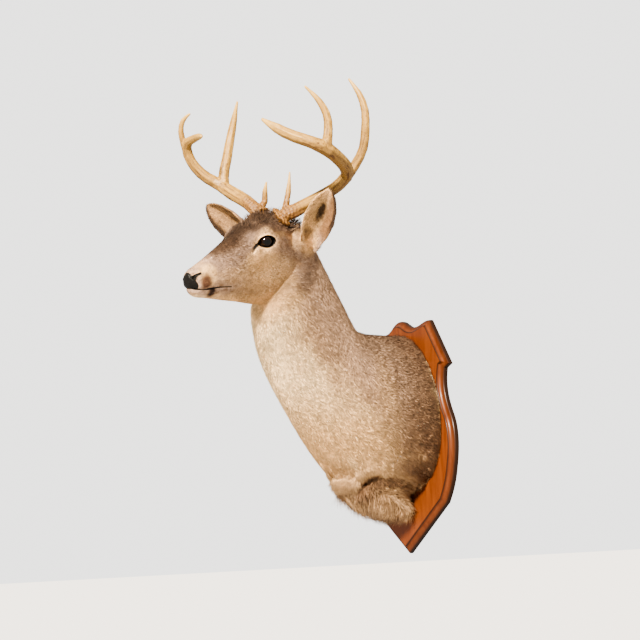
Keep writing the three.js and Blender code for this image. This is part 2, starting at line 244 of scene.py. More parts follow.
def new_object(name, mesh):
    obj = bpy.data.objects.new(name, mesh)
    bpy.context.scene.collection.objects.link(obj)
    return obj


def modified(obj, kind, **settings):
    """The mesh of a working object with this modifier applied. The object is removed."""
    modifier = obj.modifiers.new("working", kind)
    for name, value in settings.items():
        setattr(modifier, name, value)
    result = baked(obj)
    bpy.data.objects.remove(obj)
    return result


def remeshed(mesh, voxel):
    """One closed skin round everything in the mesh, in faces of about this size."""
    result = modified(new_object("remesh", mesh), "REMESH", mode="VOXEL", voxel_size=voxel)
    return largest_shell(result)


def largest_shell(mesh):
    """Keeps only the biggest connected piece."""
    edges = edges_of(mesh)
    label = np.arange(len(mesh.vertices))
    while True:
        lowest = label.copy()
        np.minimum.at(lowest, edges[:, 0], label[edges[:, 1]])
        np.minimum.at(lowest, edges[:, 1], label[edges[:, 0]])
        lowest = lowest[lowest]
        if (lowest == label).all():
            break
        label = lowest
    main = np.bincount(label).argmax()
    with editing(mesh) as bm:
        bm.verts.ensure_lookup_table()
        stray = [bm.verts[i] for i in np.flatnonzero(label != main)]
        bmesh.ops.delete(bm, geom=stray, context="VERTS")
    return mesh


def thinned(mesh, mask, left):
    """Collapses edges where mask is set, until about so many triangles are left there."""
    mesh.calc_loop_triangles()
    total = len(mesh.loop_triangles)
    corners = numbers_in(mesh.loop_triangles, "vertices", 3, np.int32)
    inside = mask[corners].all(1).sum()
    obj = new_object("thin", mesh)
    group = obj.vertex_groups.new(name="thin")
    group.add(np.flatnonzero(mask).tolist(), 1.0, "REPLACE")
    return modified(obj, "DECIMATE", ratio=(total - inside + left) / total, vertex_group=group.name)


def refine(mesh, chosen):
    """Cuts every edge in two where both ends are chosen."""
    with editing(mesh) as bm:
        edges = [edge for edge in bm.edges if all(chosen[vertex.index] for vertex in edge.verts)]
        bmesh.ops.subdivide_edges(bm, edges=edges, cuts=1, use_grid_fill=True)
        bmesh.ops.triangulate(bm, faces=[face for face in bm.faces if len(face.verts) > 4])


def shade_smooth(mesh):
    mesh.polygons.foreach_set("use_smooth", [True] * len(mesh.polygons))


# ---------------- Skin ----------------


def along_line(points, line):
    """For each point, how far it is from a bent line, and how far along the line, from 0 to 1."""
    line = np.asarray(line, float)
    best = np.full(len(points), np.inf)
    at = np.zeros(len(points))
    spans = len(line) - 1
    for index in range(spans):
        start, leg = line[index], line[index + 1] - line[index]
        t = np.clip((points - start) @ leg / (leg @ leg), 0, 1)
        gap = np.linalg.norm(points - start - t[:, None] * leg, axis=1)
        nearer = gap < best
        best[nearer] = gap[nearer]
        at[nearer] = (index + t[nearer]) / spans
    return best, at


# Lines on the left of the face: the mouth and a nostril, from front to back, and the tear duct,
# down from the eye and seen from the side.
MOUTH_LINE = [
    (0, -1, -16),
    (9, 5, -17.5),
    (16, 17, -19.5),
    (21.5, 39, -22.5),
    (23.3, 64, -23.4),
    (25.5, 93, -27.5),
]
NOSTRIL_LINE = [(14.6, 7.5, 3.5), (16.4, 10, 6.8), (18.3, 15.5, 8.8), (19.8, 23, 10)]
TEAR_DUCT = [(0, 153, 50), (0, 145, 44), (0, 138, 34)]

# The opening of the lids: half its width, and its height above and below the corners.
LID_HALF_WIDTH = 18.6
LID_RISE = 11.4
LID_DROP = 10.6
LID_POWER = 1.85


def mirrored(points, side):
    """Head-frame points with x measured towards one side."""
    return points * np.array([side, 1, 1])


def mirrored_abs(points):
    """Head-frame points with those on the right moved over to the left."""
    result = points.copy()
    result[:, 0] = np.abs(result[:, 0])
    return result


def eye_coordinates(points, side):
    """Points seen from the middle of the eyeball: towards the back corner, up, and outwards."""
    local = mirrored(points, side) - EYE_CENTRE
    return local @ EYE_BACK, local @ UP, local @ EYE_OUT


def lid_distance(along, up):
    """Distance in millimetres outside the edge of the lids, negative in the opening."""
    tall = np.where(up > 0, LID_RISE, LID_DROP)
    ratio = np.abs(along / LID_HALF_WIDTH) ** LID_POWER + np.abs(up / tall) ** LID_POWER
    ratio = ratio ** (1 / LID_POWER)
    return np.hypot(along, up) * (1 - 1 / np.maximum(ratio, 1e-6))


def shape_lids(points, side):
    """Lays the skin over the eyeball with an almond opening in it, and sinks what is inside."""
    along, up, out = eye_coordinates(points, side)
    away = lid_distance(along, up)
    spread = np.hypot(along, up)
    near = (out > -6) & (spread < 34)
    ball = np.sqrt(np.maximum(EYE_RADIUS**2 - spread**2, 0))
    cover = np.sqrt(np.maximum((EYE_RADIUS + 1.7) ** 2 - spread**2, 0))
    lid = np.maximum(out, cover)
    # The edge of the lid is a rounded roll, with a shallow crease beyond it.
    roll = 0.8 * bell(away, 1.4, 1.6)
    crease = -0.9 * bell(away, 2.2, 7.5) * ease(up, 0, 6)
    lid = lid + roll + crease
    floor = np.maximum(ball - 3.0, out - 5.0)
    inside = fade(away, -0.9, 0.1)
    target = lid * (1 - inside) + floor * inside
    blend = fade(away, 5, 13) * near
    return (target - out) * blend


def swell(points, centre, radii, rise):
    """A soft mound of this height round a centre, the same on both sides of the head."""
    local = (mirrored_abs(points) - np.array(centre)) / np.array(radii)
    return rise * np.exp(-(local**2).sum(1))


# Mounds and hollows of the face: centre, reach and height, in the head's frame.
FACE_FORMS = {
    "brow": ((48, 178, 73), (16, 22, 9), 2.6),
    "brow front": ((38, 146, 66), (12, 14, 9), 1.4),
    "hollow before the eye": ((38, 132, 44), (10, 14, 12), -2.2),
    "cheekbone": ((54, 176, 22), (14, 30, 8), 2.2),
    "cheekbone front": ((46, 140, 14), (14, 22, 8), 1.2),
    "hollow under the cheekbone": ((48, 150, -8), (14, 26, 12), -1.8),
    "jaw muscle": ((52, 208, -22), (16, 24, 28), 2.4),
    "temple hollow": ((52, 214, 62), (12, 14, 12), -2.2),
    "muzzle side": ((27, 44, -10), (10, 22, 9), 1.6),
    "behind the nostril": ((24, 26, 6), (8, 8, 8), -1.2),
    "bridge": ((0, 80, 46), (12, 44, 12), 0.8),
    "bridge side": ((20, 86, 34), (9, 40, 9), -1.2),
    "upper lip": ((22, 22, -14), (9, 16, 5), 1.2),
    "chin": ((12, 22, -34), (14, 14, 8), 1.6),
    "lower lip back": ((26, 58, -33), (9, 18, 6), 1.0),
}


def shape_face(mesh):
    """Pushes the skin of the head into its folds, lids and lips."""
    points = points_of(mesh)
    local = in_head(points)
    normals = normals_of(mesh)
    rise = sum(swell(local, *form) for form in FACE_FORMS.values())
    rise -= 3.4 * bell(mouth_gap(mirrored_abs(local)), 1.5)
    rise += 0.7 * mouth_roll(mirrored_abs(local))
    points += normals * (rise * MM)[:, None]
    for side in (1, -1):
        push = shape_lids(in_head(points), side)[:, None] * mirrored(EYE_OUT, side)
        points += turned_from_head(push) * MM
    folded = mirrored_abs(in_head(points))
    rise = nostril_depth(folded) - 3.0 * bell(duct_gap(folded), 1.9)
    points += normals * (rise * MM)[:, None]
    move_points(mesh, points)


def duct_gap(points):
    """Distance, seen from the side, from the line that runs down from the front corner of the eye."""
    gap, at = along_line(points * np.array([0, 1, 1]), TEAR_DUCT)
    return np.where(points[:, 0] > 25, gap + 0.9 * at - 1.0, FAR)


def mouth_gap(points):
    """Distance outside the line of the mouth, which narrows towards its corner."""
    gap, at = along_line(points, MOUTH_LINE)
    return gap + 1.1 * at


def mouth_roll(points):
    """Lips: the skin swells a little on both sides of the mouth line."""
    gap, at = along_line(points, MOUTH_LINE)
    return bell(gap, 2.2, 4.2) * (1 - 0.6 * at)


def nostril_gap(points):
    """Distance outside the comma of a nostril: wide in front, narrow behind."""
    hole, at = along_line(points, NOSTRIL_LINE)
    return hole - (3.6 - 2.4 * at)


def nostril_depth(points):
    """The hole of a nostril, with the raised wing round its front."""
    hole, at = along_line(points, NOSTRIL_LINE)
    wide = 3.0 - 1.9 * at
    wing = bell(hole - wide, 1.3, 1.9) * (1 - 0.7 * at)
    return -(4.4 - 1.6 * at) * bell(hole, wide) + 1.5 * wing


def head_share(points):
    """1 on the head and ears, 0 on the neck and trunk, with a soft step at the throat latch."""
    local = in_head(points)
    edge = local[:, 1] - 0.9 * (local[:, 2] - 20)
    return fade(edge, 285, 325)


def ear_share(points):
    """1 on the thin leaves of the ears."""
    x, back, z = mirrored_abs(in_head(points)).T
    return ease(x + 0.75 * z, 118, 134) * ease(back, 200, 215)


# How near to an eye's middle, the mouth line and the nose tip the skin is made finer, and finer
# again, and how near to the fold over the brisket it is made finer once.
FINE_FACE = ((30, 6, 24), (23, 3.2, 15))
FINE_FOLD = 0.030


def build_skin():
    """One skin over all the flesh, inside the solids by the coat's depth."""
    mesh = smooth_flesh()
    sink_under_coat(mesh)
    for reaches in FINE_FACE:
        refine(mesh, detail_region(in_head(points_of(mesh)), *reaches))
    refine(mesh, fold_gap(points_of(mesh)) < FINE_FOLD)
    store(mesh, "rest", points_of(mesh))
    fold_brisket(mesh)
    shape_face(mesh)
    relax(mesh, 2, 0.5 * detail_region(in_head(points_of(mesh)), 40, 8, 30))
    shade_smooth(mesh)
    return mesh


def smooth_flesh():
    """Trunk, neck, head, jaws, ears, nose and brisket as one smooth skin, thinned where it is plain."""
    under_skin = [*FLESH, "nose", "eye_left", "eye_right", "brisket_fringe"]
    mesh = remeshed(merged_copy(under_skin), SKIN_VOXEL)
    points = points_of(mesh)
    head = head_share(points)
    relax(mesh, 14, 0.9 * head * (1 - 0.6 * ear_share(points)))
    # Drawn in and not pushed out again, the folds at the joints fill up.
    relax(mesh, 45, 0.85 * fold_share(in_head(points_of(mesh))), steps=(1,))
    mesh = thinned(mesh, head < 0.5, BODY_TRIANGLES)
    points = points_of(mesh)
    plain = ~detail_region(in_head(points), 30, 9, 28) & (head_share(points) >= 0.5)
    mesh = thinned(mesh, plain, HEAD_TRIANGLES)
    points = points_of(mesh)
    head = head_share(points)
    relax(mesh, 60, 0.95 * (1 - head) * ease(-points[:, 1], 0.019, 0.026))
    relax(mesh, 3, 0.8 * head * (1 - ear_share(points)))
    return mesh


def sink_under_coat(mesh):
    """Moves the skin in from the tips of the coat, by the coat's depth."""
    points = points_of(mesh)
    head = head_share(points)
    depth = COAT_DEPTH_BODY * (1 - head) + COAT_DEPTH_FACE * head
    depth *= 1 - 0.5 * ear_share(points)
    depth += (COAT_DEPTH_BRISKET - COAT_DEPTH_BODY) * brisket_share(points)
    move_points(mesh, points - normals_of(mesh) * depth[:, None])


def detail_region(points, eye, mouth, nose):
    """What lies within these distances of an eye's middle, the mouth line and the nose tip."""
    near = np.zeros(len(points), bool)
    for side in (1, -1):
        along, up, out = eye_coordinates(points, side)
        near |= (np.hypot(along, up) < eye) & (out > -8)
    folded = mirrored_abs(points)
    near |= along_line(folded, MOUTH_LINE)[0] < mouth
    near |= points[:, 1] < nose
    return near


def fold_share(points):
    """1 in the folds where the ears and the neck join the head, which the hide fills."""
    folded = mirrored_abs(points)
    ear_root = spot(folded, (70, 268, 40), (26, 30, 34))
    edge = points[:, 1] - 0.9 * (points[:, 2] - 20)
    latch = bell(edge, 22, 292)
    nostril = spot(folded, (18, 9, 9), (13, 13, 12))
    lips = 0.9 * fade(along_line(folded, MOUTH_LINE)[0], 3.5, 8)
    return np.maximum.reduce([ear_root, latch, nostril, lips])


# The fold over the brisket: its upper lip on the animal's left, in metres, from front to back.
BRISKET_FOLD = [
    (0.060, -0.150, -0.094),
    (0.080, -0.146, -0.084),
    (0.100, -0.133, -0.078),
    (0.112, -0.110, -0.080),
    (0.116, -0.088, -0.084),
    (0.112, -0.066, -0.091),
    (0.100, -0.044, -0.100),
]
# The notch in front of the roll, and the tuft beside it.
BRISKET_NOTCH = (-0.031, -0.167, -0.080)
FRONT_TUFT = (-0.028, -0.188, -0.058)


def fold_gap(points):
    """Distance from the fold over the brisket, on either side."""
    return along_line(mirrored_abs(points), BRISKET_FOLD)[0]


def brisket_share(points):
    """1 on the long-haired roll below the fold and 0 above, with no fold at the front."""
    x, y, z = points.T
    line = np.array(BRISKET_FOLD)
    over = np.interp(y, line[:, 1], line[:, 2])
    over = np.where(y < line[0, 1], -0.094 - 0.10 * (line[0, 1] - y) / 0.04, over)
    wide = ease(np.abs(x), 0.02, 0.075)
    low = over * wide + (-0.106) * (1 - wide)
    soft = 0.004 + 0.014 * (1 - wide)
    return fade(z, low - soft, low + 0.3 * soft)


def fold_brisket(mesh):
    """Lets the shoulder's skin hang over the brisket in a fold, with a notch in front."""
    points = points_of(mesh)
    normals = normals_of(mesh)
    gap = fold_gap(points)
    notch = distance(points, BRISKET_NOTCH)
    below = brisket_share(points)
    rise = -0.012 * below * bell(gap, 0.009, 0.009)
    rise += 0.005 * below * bell(gap, 0.009, 0.029)
    rise += 0.003 * (1 - below) * bell(gap, 0.007, 0.009)
    rise -= 0.007 * bell(notch, 0.007)
    move_points(mesh, points + normals * rise[:, None])


# ---------------- Node trees ----------------


class Graph:
    """Short forms for building a node tree. A value is a socket, a number or a tuple."""

    def __init__(self, tree):
        self.tree = tree

    def put(self, socket, value):
        if isinstance(value, bpy.types.NodeSocket):
            self.tree.links.new(value, socket)
        elif socket.type == "RGBA" and len(value) == 3:
            socket.default_value = (*value, 1)
        else:
            socket.default_value = value

    def fill(self, node, inputs):
        """Sets or links a node's inputs, given by name or number."""
        for name, value in inputs.items():
            self.put(node.inputs[name], value)

    def add(self, kind, inputs=None, **settings):
        """Adds a node with these inputs, given by name or number. Settings are its properties."""
        node = self.tree.nodes.new(kind)
        for name, value in settings.items():
            setattr(node, name, value)
        self.fill(node, inputs or {})
        return node

    def out(self, kind, inputs=None, **settings):
        """Adds a node in the same way, and gives its first output."""
        return self.add(kind, inputs, **settings).outputs[0]

    def sum(self, a, b):
        return self.calc("ADD", a, b)

    def times(self, a, b):
        return self.calc("MULTIPLY", a, b)

    def calc(self, operation, a, b=0.0):
        return self.out("ShaderNodeMath", {0: a, 1: b}, operation=operation)

    def vector(self, operation, a, b):
        sockets = {0: a, "Scale" if operation == "SCALE" else 1: b}
        return self.add("ShaderNodeVectorMath", sockets, operation=operation).outputs["Vector"]

    def step(self, value, low, high, start=0.0, end=1.0):
        """A smooth step of value from low to high, going from start to end."""
        sockets = {0: value, 1: low, 2: high, 3: start, 4: end}
        return self.out("ShaderNodeMapRange", sockets, interpolation_type="SMOOTHSTEP")

    def noise(self, vector, scale, detail=2.0, rough=0.5, warp=0.0):
        sockets = {"Vector": vector, "Scale": scale, "Detail": detail, "Roughness": rough}
        return self.out("ShaderNodeTexNoise", {**sockets, "Distortion": warp})

    def mix(self, share, a, b, blend="MIX"):
        sockets = {0: share, 6: a, 7: b}
        return self.add("ShaderNodeMix", sockets, data_type="RGBA", blend_type=blend).outputs[2]

    def lit(self, colour, light):
        """The colour made brighter or darker by this factor."""
        grey = self.out("ShaderNodeCombineColor", {0: light, 1: light, 2: light})
        return self.mix(1.0, colour, grey, "MULTIPLY")

    def bump(self, height, strength, distance):
        sockets = {"Height": height, "Strength": strength, "Distance": distance}
        return self.out("ShaderNodeBump", sockets)

    def stretched(self, vector, scale):
        return self.out("ShaderNodeMapping", {"Vector": vector, "Scale": scale})

    def attribute(self, name, output="Fac"):
        return self.add("ShaderNodeAttribute", attribute_name=name).outputs[output]

    def place(self):
        return self.add("ShaderNodeTexCoord").outputs["Object"]


def node_group(name, kind, inputs, outputs):
    """An empty node group with these sockets: (name, socket type, default)."""
    tree = bpy.data.node_groups.new(name, kind)
    for label, socket, default in inputs:
        made = tree.interface.new_socket(label, in_out="INPUT", socket_type=socket)
        if default is not None:
            made.default_value = default
    for label, socket in outputs:
        tree.interface.new_socket(label, in_out="OUTPUT", socket_type=socket)
    graph = Graph(tree)
    graph.given = graph.add("NodeGroupInput").outputs
    graph.result = graph.add("NodeGroupOutput").inputs
    return graph


def new_material(name):
    """A material, and the graph of its nodes with a bare Principled BSDF as its shader."""
    material = bpy.data.materials.new(name)
    material.use_nodes = True
    graph = Graph(material.node_tree)
    graph.tree.nodes.clear()
    graph.shader = graph.add("ShaderNodeBsdfPrincipled")
    graph.add("ShaderNodeOutputMaterial", {"Surface": graph.shader.outputs["BSDF"]})
    return material, graph


# ---------------- Markings ----------------

# Colours of the coat, as linear red, green and blue.
TAUPE = (0.375, 0.240, 0.150)
BROWN = (0.160, 0.084, 0.042)
DUSK = (0.068, 0.037, 0.020)
DARK_BROWN = (0.030, 0.015, 0.007)
TAN = (0.490, 0.305, 0.155)
CREAM = (0.720, 0.450, 0.215)
WHITE_HAIR = (0.880, 0.670, 0.400)
RUST = (0.068, 0.026, 0.014)
BLACK = (0.007, 0.006, 0.005)
LIP_BROWN = (0.030, 0.013, 0.008)
EAR_GOLD = (0.560, 0.355, 0.170)
EAR_BROWN = (0.185, 0.096, 0.042)
FACE_GREY = (0.345, 0.225, 0.150)

# Soft spots on both sides of the head, in the order that they are laid over each other:
# colour, centre, reach and strength, in the head's frame.
FACE_SPOTS = {
    "cheek": (CREAM, (50, 160, -10), (30, 100, 44), 0.6),
    # The bridge's dark brown is partly its hair and partly painted shade on its upturned top.
    "bridge of the nose": (DUSK, (0, 112, 54), (34, 86, 36), 0.92),
    "muzzle band": (CREAM, (24, 38, 6), (22, 26, 28), 0.9),
    "band over the bridge": (TAN, (0, 32, 26), (20, 16, 12), 0.4),
    "side of the muzzle": (TAN, (30, 86, -6), (16, 40, 22), 0.5),
    "jaw": (CREAM, (44, 170, -40), (34, 120, 26), 0.6),
    "eye ring": (CREAM, (50, 170, 50), (24, 32, 26), 0.75),
    "pale under the eye": (CREAM, (48, 156, 18), (26, 44, 28), 0.95),
    "pale over the eye": (CREAM, (46, 176, 70), (12, 24, 7), 0.4),
    "front of the brow": (DUSK, (16, 158, 85), (34, 48, 22), 0.7),
    "forehead": (DARK_BROWN, (0, 210, 98), (68, 64, 32), 0.86),
    # Partly dark hair and partly painted shade in the hollow between burr and ear.
    "between burr and ear": (DARK_BROWN, (44, 254, 72), (18, 24, 20), 0.95),
    "streak behind the eye": (CREAM, (56, 208, 62), (10, 26, 10), 0.5),
    "behind the nostril": (RUST, (25, 30, -7), (20, 16, 19), 0.95),
    "before the ear": (CREAM, (64, 244, 48), (20, 24, 28), 0.6),
    "ear root": (CREAM, (74, 262, 40), (22, 26, 34), 0.9),
}


def spot(points, centre, reach):
    """1 in the middle of a soft-edged spot, and 0 a little beyond its reach."""
    local = (points - np.array(centre)) / np.array(reach)
    return fade(np.linalg.norm(local, axis=1), 0.45, 1.1)


def laid_over(colours, *layers):
    """Colours with layers over them, each a colour and how much of it there is at each point."""
    for colour, share in layers:
        share = np.clip(share, 0, 1)[:, None]
        colours = colours * (1 - share) + np.array(colour) * share
    return colours


def wavering(points, size, seed):
    """A smooth random value from about -1 to 1 at each point, from a few turned waves."""
    random = np.random.default_rng(seed)
    total = np.zeros(len(points))
    for octave in range(3):
        for _ in range(4):
            wave = unit(random.normal(size=3)) * 2 * math.pi / size * 1.7**octave
            total += np.sin(points @ wave + random.uniform(0, 2 * math.pi)) / 1.5**octave
    return total / 5


def wavering_ways(points, size, seed):
    """A vector at each point of three such values, from this seed and the next two."""
    return np.stack([wavering(points, size, seed + step) for step in range(3)], -1)


def face_colours(local):
    """Grey-brown with the spots of the face over it, a white lower lip and a dark patch beside it."""
    folded = mirrored_abs(local)
    ragged = folded + 3.5 * wavering_ways(local, 26, 1)
    below = fade(ragged[:, 2], -44 - 0.1 * ragged[:, 1], -22 - 0.1 * ragged[:, 1])
    lip = below * fade(local[:, 1], 26, 46)
    flecks = ease(wavering(local, 7, 4), 0.3, 0.6) * spot(folded, (24, 48, -4), (16, 40, 26))
    return laid_over(
        np.tile(FACE_GREY, (len(local), 1)),
        (BROWN, 0.7 * ease(wavering(local, 15, 14), 0.1, 0.75)),
        *[
            (colour, strength * spot(ragged, centre, reach))
            for colour, centre, reach, strength in FACE_SPOTS.values()
        ],
        (CREAM, 0.85 * below),
        (WHITE_HAIR, 0.7 * lip),
        (LIP_BROWN, 0.97 * spot(ragged, (19, 46, -31), (18, 14, 16))),
        (BROWN, 0.7 * flecks),
    )


def edge_colours(local, colours):
    """Black lips, lid edges, tear ducts and nose, which are skin and not hair."""
    folded = mirrored_abs(local)
    mouth = fade(mouth_gap(folded), 2.0, 3.2)
    duct = fade(duct_gap(folded), 2.2, 3.4)
    hole = fade(nostril_gap(folded), 0.2, 1.4)
    return laid_over(
        colours,
        (BLACK, np.maximum.reduce([mouth, duct, hole])),
        (BLACK, fade(lid_gap(local), 1.0, 2.2)),
        (BLACK, nose_share(local)),
    )


def lid_gap(local):
    """Distance outside the nearer eye's lid edges, and far away for what isn't near an eye."""
    gap = np.full(len(local), FAR)
    for side in (1, -1):
        along, up, out = eye_coordinates(local, side)
        gap = np.where((out > -6) & (np.hypot(along, up) < 40), lid_distance(along, up), gap)
    return gap


def body_colours(points, normals):
    """Cream down the throat and the front of the chest, taupe sides, browner to the board."""
    _, y, z = points.T
    front = -normals @ unit(np.array([0.05, 0.85, 0.45]))
    throat = ease(front + 0.16 * wavering(points, 0.09, 5), 0.2, 0.75) * ease(z, -0.15, -0.02)
    back = ease(y - 0.25 * z + 0.02 * wavering(points, 0.12, 6), -0.19, -0.04)
    colours = laid_over(
        np.tile(TAUPE, (len(points), 1)),
        (TAN, 0.5 * ease(front, -0.2, 0.5)),
        (BROWN, 0.78 * back),
        (TAN, 0.55 * spot(points, (0.12, -0.13, 0.02), (0.06, 0.03, 0.16))),
        (WHITE_HAIR, 0.8 * spot(points, (0.070, -0.176, -0.050), (0.012, 0.020, 0.036))),
        (CREAM, 0.9 * throat),
        (WHITE_HAIR, 0.8 * throat * ease(z, -0.02, 0.14)),
    )
    return brisket_colours(points, normals, colours)


def brisket_colours(points, normals, colours):
    """Tan hair on the roll, with painted shade: dark in the fold over it and in the notch, browner
    underneath.
    """
    below = brisket_share(points)
    under = below * (1 - 0.7 * ease(points[:, 1], -0.11, -0.07))
    gap = fold_gap(points)
    notch = distance(points, BRISKET_NOTCH)
    # Painted shade: dark brown in the fold over the roll and in its notch.
    dark = 0.9 * under * fade(gap, 0.008, 0.020)
    return laid_over(
        colours,
        (TAN, 0.8 * below),
        (BROWN, 0.7 * below * ease(wavering(points, 0.03, 22), -0.3, 0.8)),
        # Painted shade: browner where the roll faces down, and in a band over the fold.
        (BROWN, 0.8 * below * ease(-normals[:, 2], 0.75, 0.99)),
        (BROWN, 0.9 * under * fade(gap, 0.022, 0.042)),
        (DARK_BROWN, 0.95 * np.maximum(dark, fade(notch, 0.004, 0.009))),
    )


# Each ear: its root, the way to its tip, and the way that its cup faces, in the head's frame.
EARS = {
    "left": np.array([(69, 274, 30), (83, -20, 114), (0.62, -0.78, 0)]),
    "right": np.array([(-65, 268, 34), (-115, -30, 76), (-0.1, -0.95, 0.1)]),
}

# Half the width of an ear in millimetres, at these shares of its length.
EAR_WIDTHS = ((0, 0.16, 0.34, 0.54, 0.74, 0.88, 0.96, 1), (17, 22, 29, 32, 28, 20, 11, 4))


def ear_place(local, name):
    """How far along an ear each point lies, how far across, in millimetres, and towards its cup."""
    root, axis, opening = EARS[name]
    side = unit(np.cross(axis, opening))
    front = unit(np.cross(side, axis))
    offset = local - root
    return offset @ axis / (axis @ axis), offset @ side, offset @ front


def ear_leaf(local, name, low, high):
    """1 on the leaf of an ear, with a soft step between these shares of its length."""
    at, across, ahead = ear_place(local, name)
    same_side = np.sign(local[:, 0]) == np.sign(EARS[name][0, 0])
    return ease(at, low, high) * fade(np.hypot(across, ahead), 40, 52) * same_side


def ear_colours(local, normals, colours):
    """Cups cream in front, with a dark patch, and brown behind. The backs are brown with a dark rim."""
    head_normals = normals @ HEAD_AXES
    for name, (_, _, opening) in EARS.items():
        on_left = name == "left"
        at, across, _ = ear_place(local, name)
        leaf = ear_leaf(local, name, 0.1, 0.3)
        inner = leaf * ease(head_normals @ unit(opening), -0.1, 0.35)
        outer = leaf * (1 - inner)
        front_half = fade(across, -6, 12) if on_left else 0.15
        cream = 0.95 * front_half * ease(wavering(local, 16, 9), -0.8, 0.3)
        patch = np.stack([(at - 0.55) / 0.24, (across + 2) / 11], -1)
        dark = fade(np.linalg.norm(patch, axis=1) + 0.3 * wavering(local, 12, 8), 0.4, 1.2)
        behind = (across if on_left else -across) - np.interp(at, *EAR_WIDTHS)
        rim = leaf * ease(at, 0.2, 0.5) * ease(behind, -10, -6)
        colours = laid_over(
            colours,
            (BROWN, 0.7 * outer),
            (EAR_BROWN, inner),
            (EAR_GOLD, front_half * inner),
            (CREAM, cream * inner),
            (DARK_BROWN, (0.95 if on_left else 0.3) * dark * inner),
            (DARK_BROWN, 0.9 * outer * ease(at, 0.45, 0.9)),
            (DARK_BROWN, 0.95 * rim),
        )
    return colours


# Rounds of averaging that smooth the skin's normals for the markings of the body.
NORMAL_ROUNDS = 8


def paint(mesh):
    """Stores the markings on the mesh's vertices, for skin and coat alike."""
    points = rest_of(mesh)
    normals = normals_of(mesh)
    edges = edges_of(mesh)
    local = in_head(points)
    smooth_normals = normals
    for _ in range(NORMAL_ROUNDS):
        smooth_normals = neighbour_mean(smooth_normals, edges)
    head = head_share(points)[:, None]
    colours = body_colours(points, unit(smooth_normals)) * (1 - head) + face_colours(local) * head
    colours = ear_colours(local, normals, colours)
    store_colours(mesh, "marking", edge_colours(local, colours))


def nose_share(local):
    """1 on the bare black leather of the nose."""
    x, back, z = mirrored_abs(local).T
    edge = back - 7.5 - 6.5 * fade(z, -14, 7) + 1.8 * ease(z, 10, 18)
    edge = edge + 0.1 * np.maximum(x - 16, 0)
    edge += 0.6 * wavering(local, 5, 7)
    pad = fade(edge, -0.7, 0.7) * ease(z, -19.5, -17.5)
    return np.maximum(pad, fade(nostril_gap(mirrored_abs(local)) + 0.12 * (z - 8), 0.8, 2.0))


# ---------------- Lie and length of the coat ----------------


def head_lie(local):
    """The way that the hair lies on the head: back from the nose, parting round the eyes."""
    side = np.sign(local[:, 0])
    folded = mirrored_abs(local)
    top = ease(local[:, 2] - 0.3 * local[:, 1], 0, 30)
    lie = np.stack([side * 0.12, np.ones(len(local)), -0.42 + 0.5 * top], -1)
    from_eye = folded - np.array([50, 170, 50])
    reach = bell(np.linalg.norm(from_eye, axis=1), 30)[:, None]
    from_eye[:, 0] *= side
    lie += 1.3 * reach * unit(from_eye)
    crown = spot(folded, (0, 212, 95), (34, 40, 30))[:, None]
    return lie + crown * np.array([0, -1.1, 0.5])


def body_lie(points):
    """Down the neck, and back and down over the shoulder to the board."""
    _, y, z = points.T
    trunk = fade(z + 0.8 * y, -0.14, 0.02) + ease(y, -0.20, -0.09)
    trunk = np.clip(trunk, 0, 1)[:, None]
    chest = fade(z, -0.12, 0.02)[:, None] * fade(y, -0.16, -0.08)[:, None]
    lie = np.array([0.0, 0.42, -0.9]) * (1 - trunk) + np.array([0.0, 0.86, -0.5]) * trunk
    lie = lie * (1 - chest) + np.array([0.0, 0.45, -0.89]) * chest
    return lie + 0.28 * wavering_ways(points, 0.22, 11)


def along_skin(directions, normals):
    """The directions turned to lie along the skin."""
    return unit(directions - normals * (directions * normals).sum(1, keepdims=True))


def coat_lie(points, normals):
    """The direction of the hair at each point, along the skin."""
    local = in_head(points)
    head = head_share(points)[:, None]
    lie = turned_from_head(head_lie(local)) * head + body_lie(points) * (1 - head)
    for name, (_, axis, _) in EARS.items():
        leaf = ear_leaf(local, name, 0.02, 0.2)
        lie = lie * (1 - leaf)[:, None] + unit(turned_from_head(axis)) * leaf[:, None]
    return along_skin(lie, normals)


def hair_length(points):
    """Length of the hair in metres: short on the muzzle and by the board, longest on the chest."""
    local = in_head(points)
    head = head_share(points)
    face = 2.4 + 4.4 * ease(local[:, 1], 20, 150) + 3.5 * ease(local[:, 1], 170, 280)
    face = face * (1 - ear_share(points)) + 5.5 * ear_share(points)
    face = np.minimum(face, 1.2 + 0.75 * bare_gap(local))
    body = 12.5 + 5 * fade(points[:, 2], -0.1, 0.12) + 3 * ease(points[:, 2], 0.1, 0.22)
    body -= 8 * brisket_share(points) * fade(fold_gap(points), 0.014, 0.024)
    body = np.minimum(body, 4.0 + np.maximum(BOARD_FACE - points[:, 1], 0) / 0.9 / MM)
    return (face * head + body * (1 - head)) * MM


def bare_gap(local):
    """Distance to the nearest bare edge of the face, in millimetres."""
    folded = mirrored_abs(local)
    gaps = [mouth_gap(folded) - 1.8, duct_gap(folded), nostril_gap(folded), lid_gap(local)]
    return np.maximum(np.minimum.reduce(gaps), 0)


def hair_cover(mesh):
    """1 where the coat grows and 0 on bare skin: nose, lips, lids, and the side against the board."""
    points = rest_of(mesh)
    local = in_head(points)
    folded = mirrored_abs(local)
    cover = 1 - nose_share(local)
    cover *= ease(mouth_gap(folded), 1.8, 2.8)
    cover *= ease(duct_gap(folded), 1.4, 2.4)
    cover *= ease(nostril_gap(folded), 0.6, 1.6)
    cover *= ease(lid_gap(local), 1.6, 2.6)
    return cover * ease(-points[:, 1], 0.0195, 0.022)


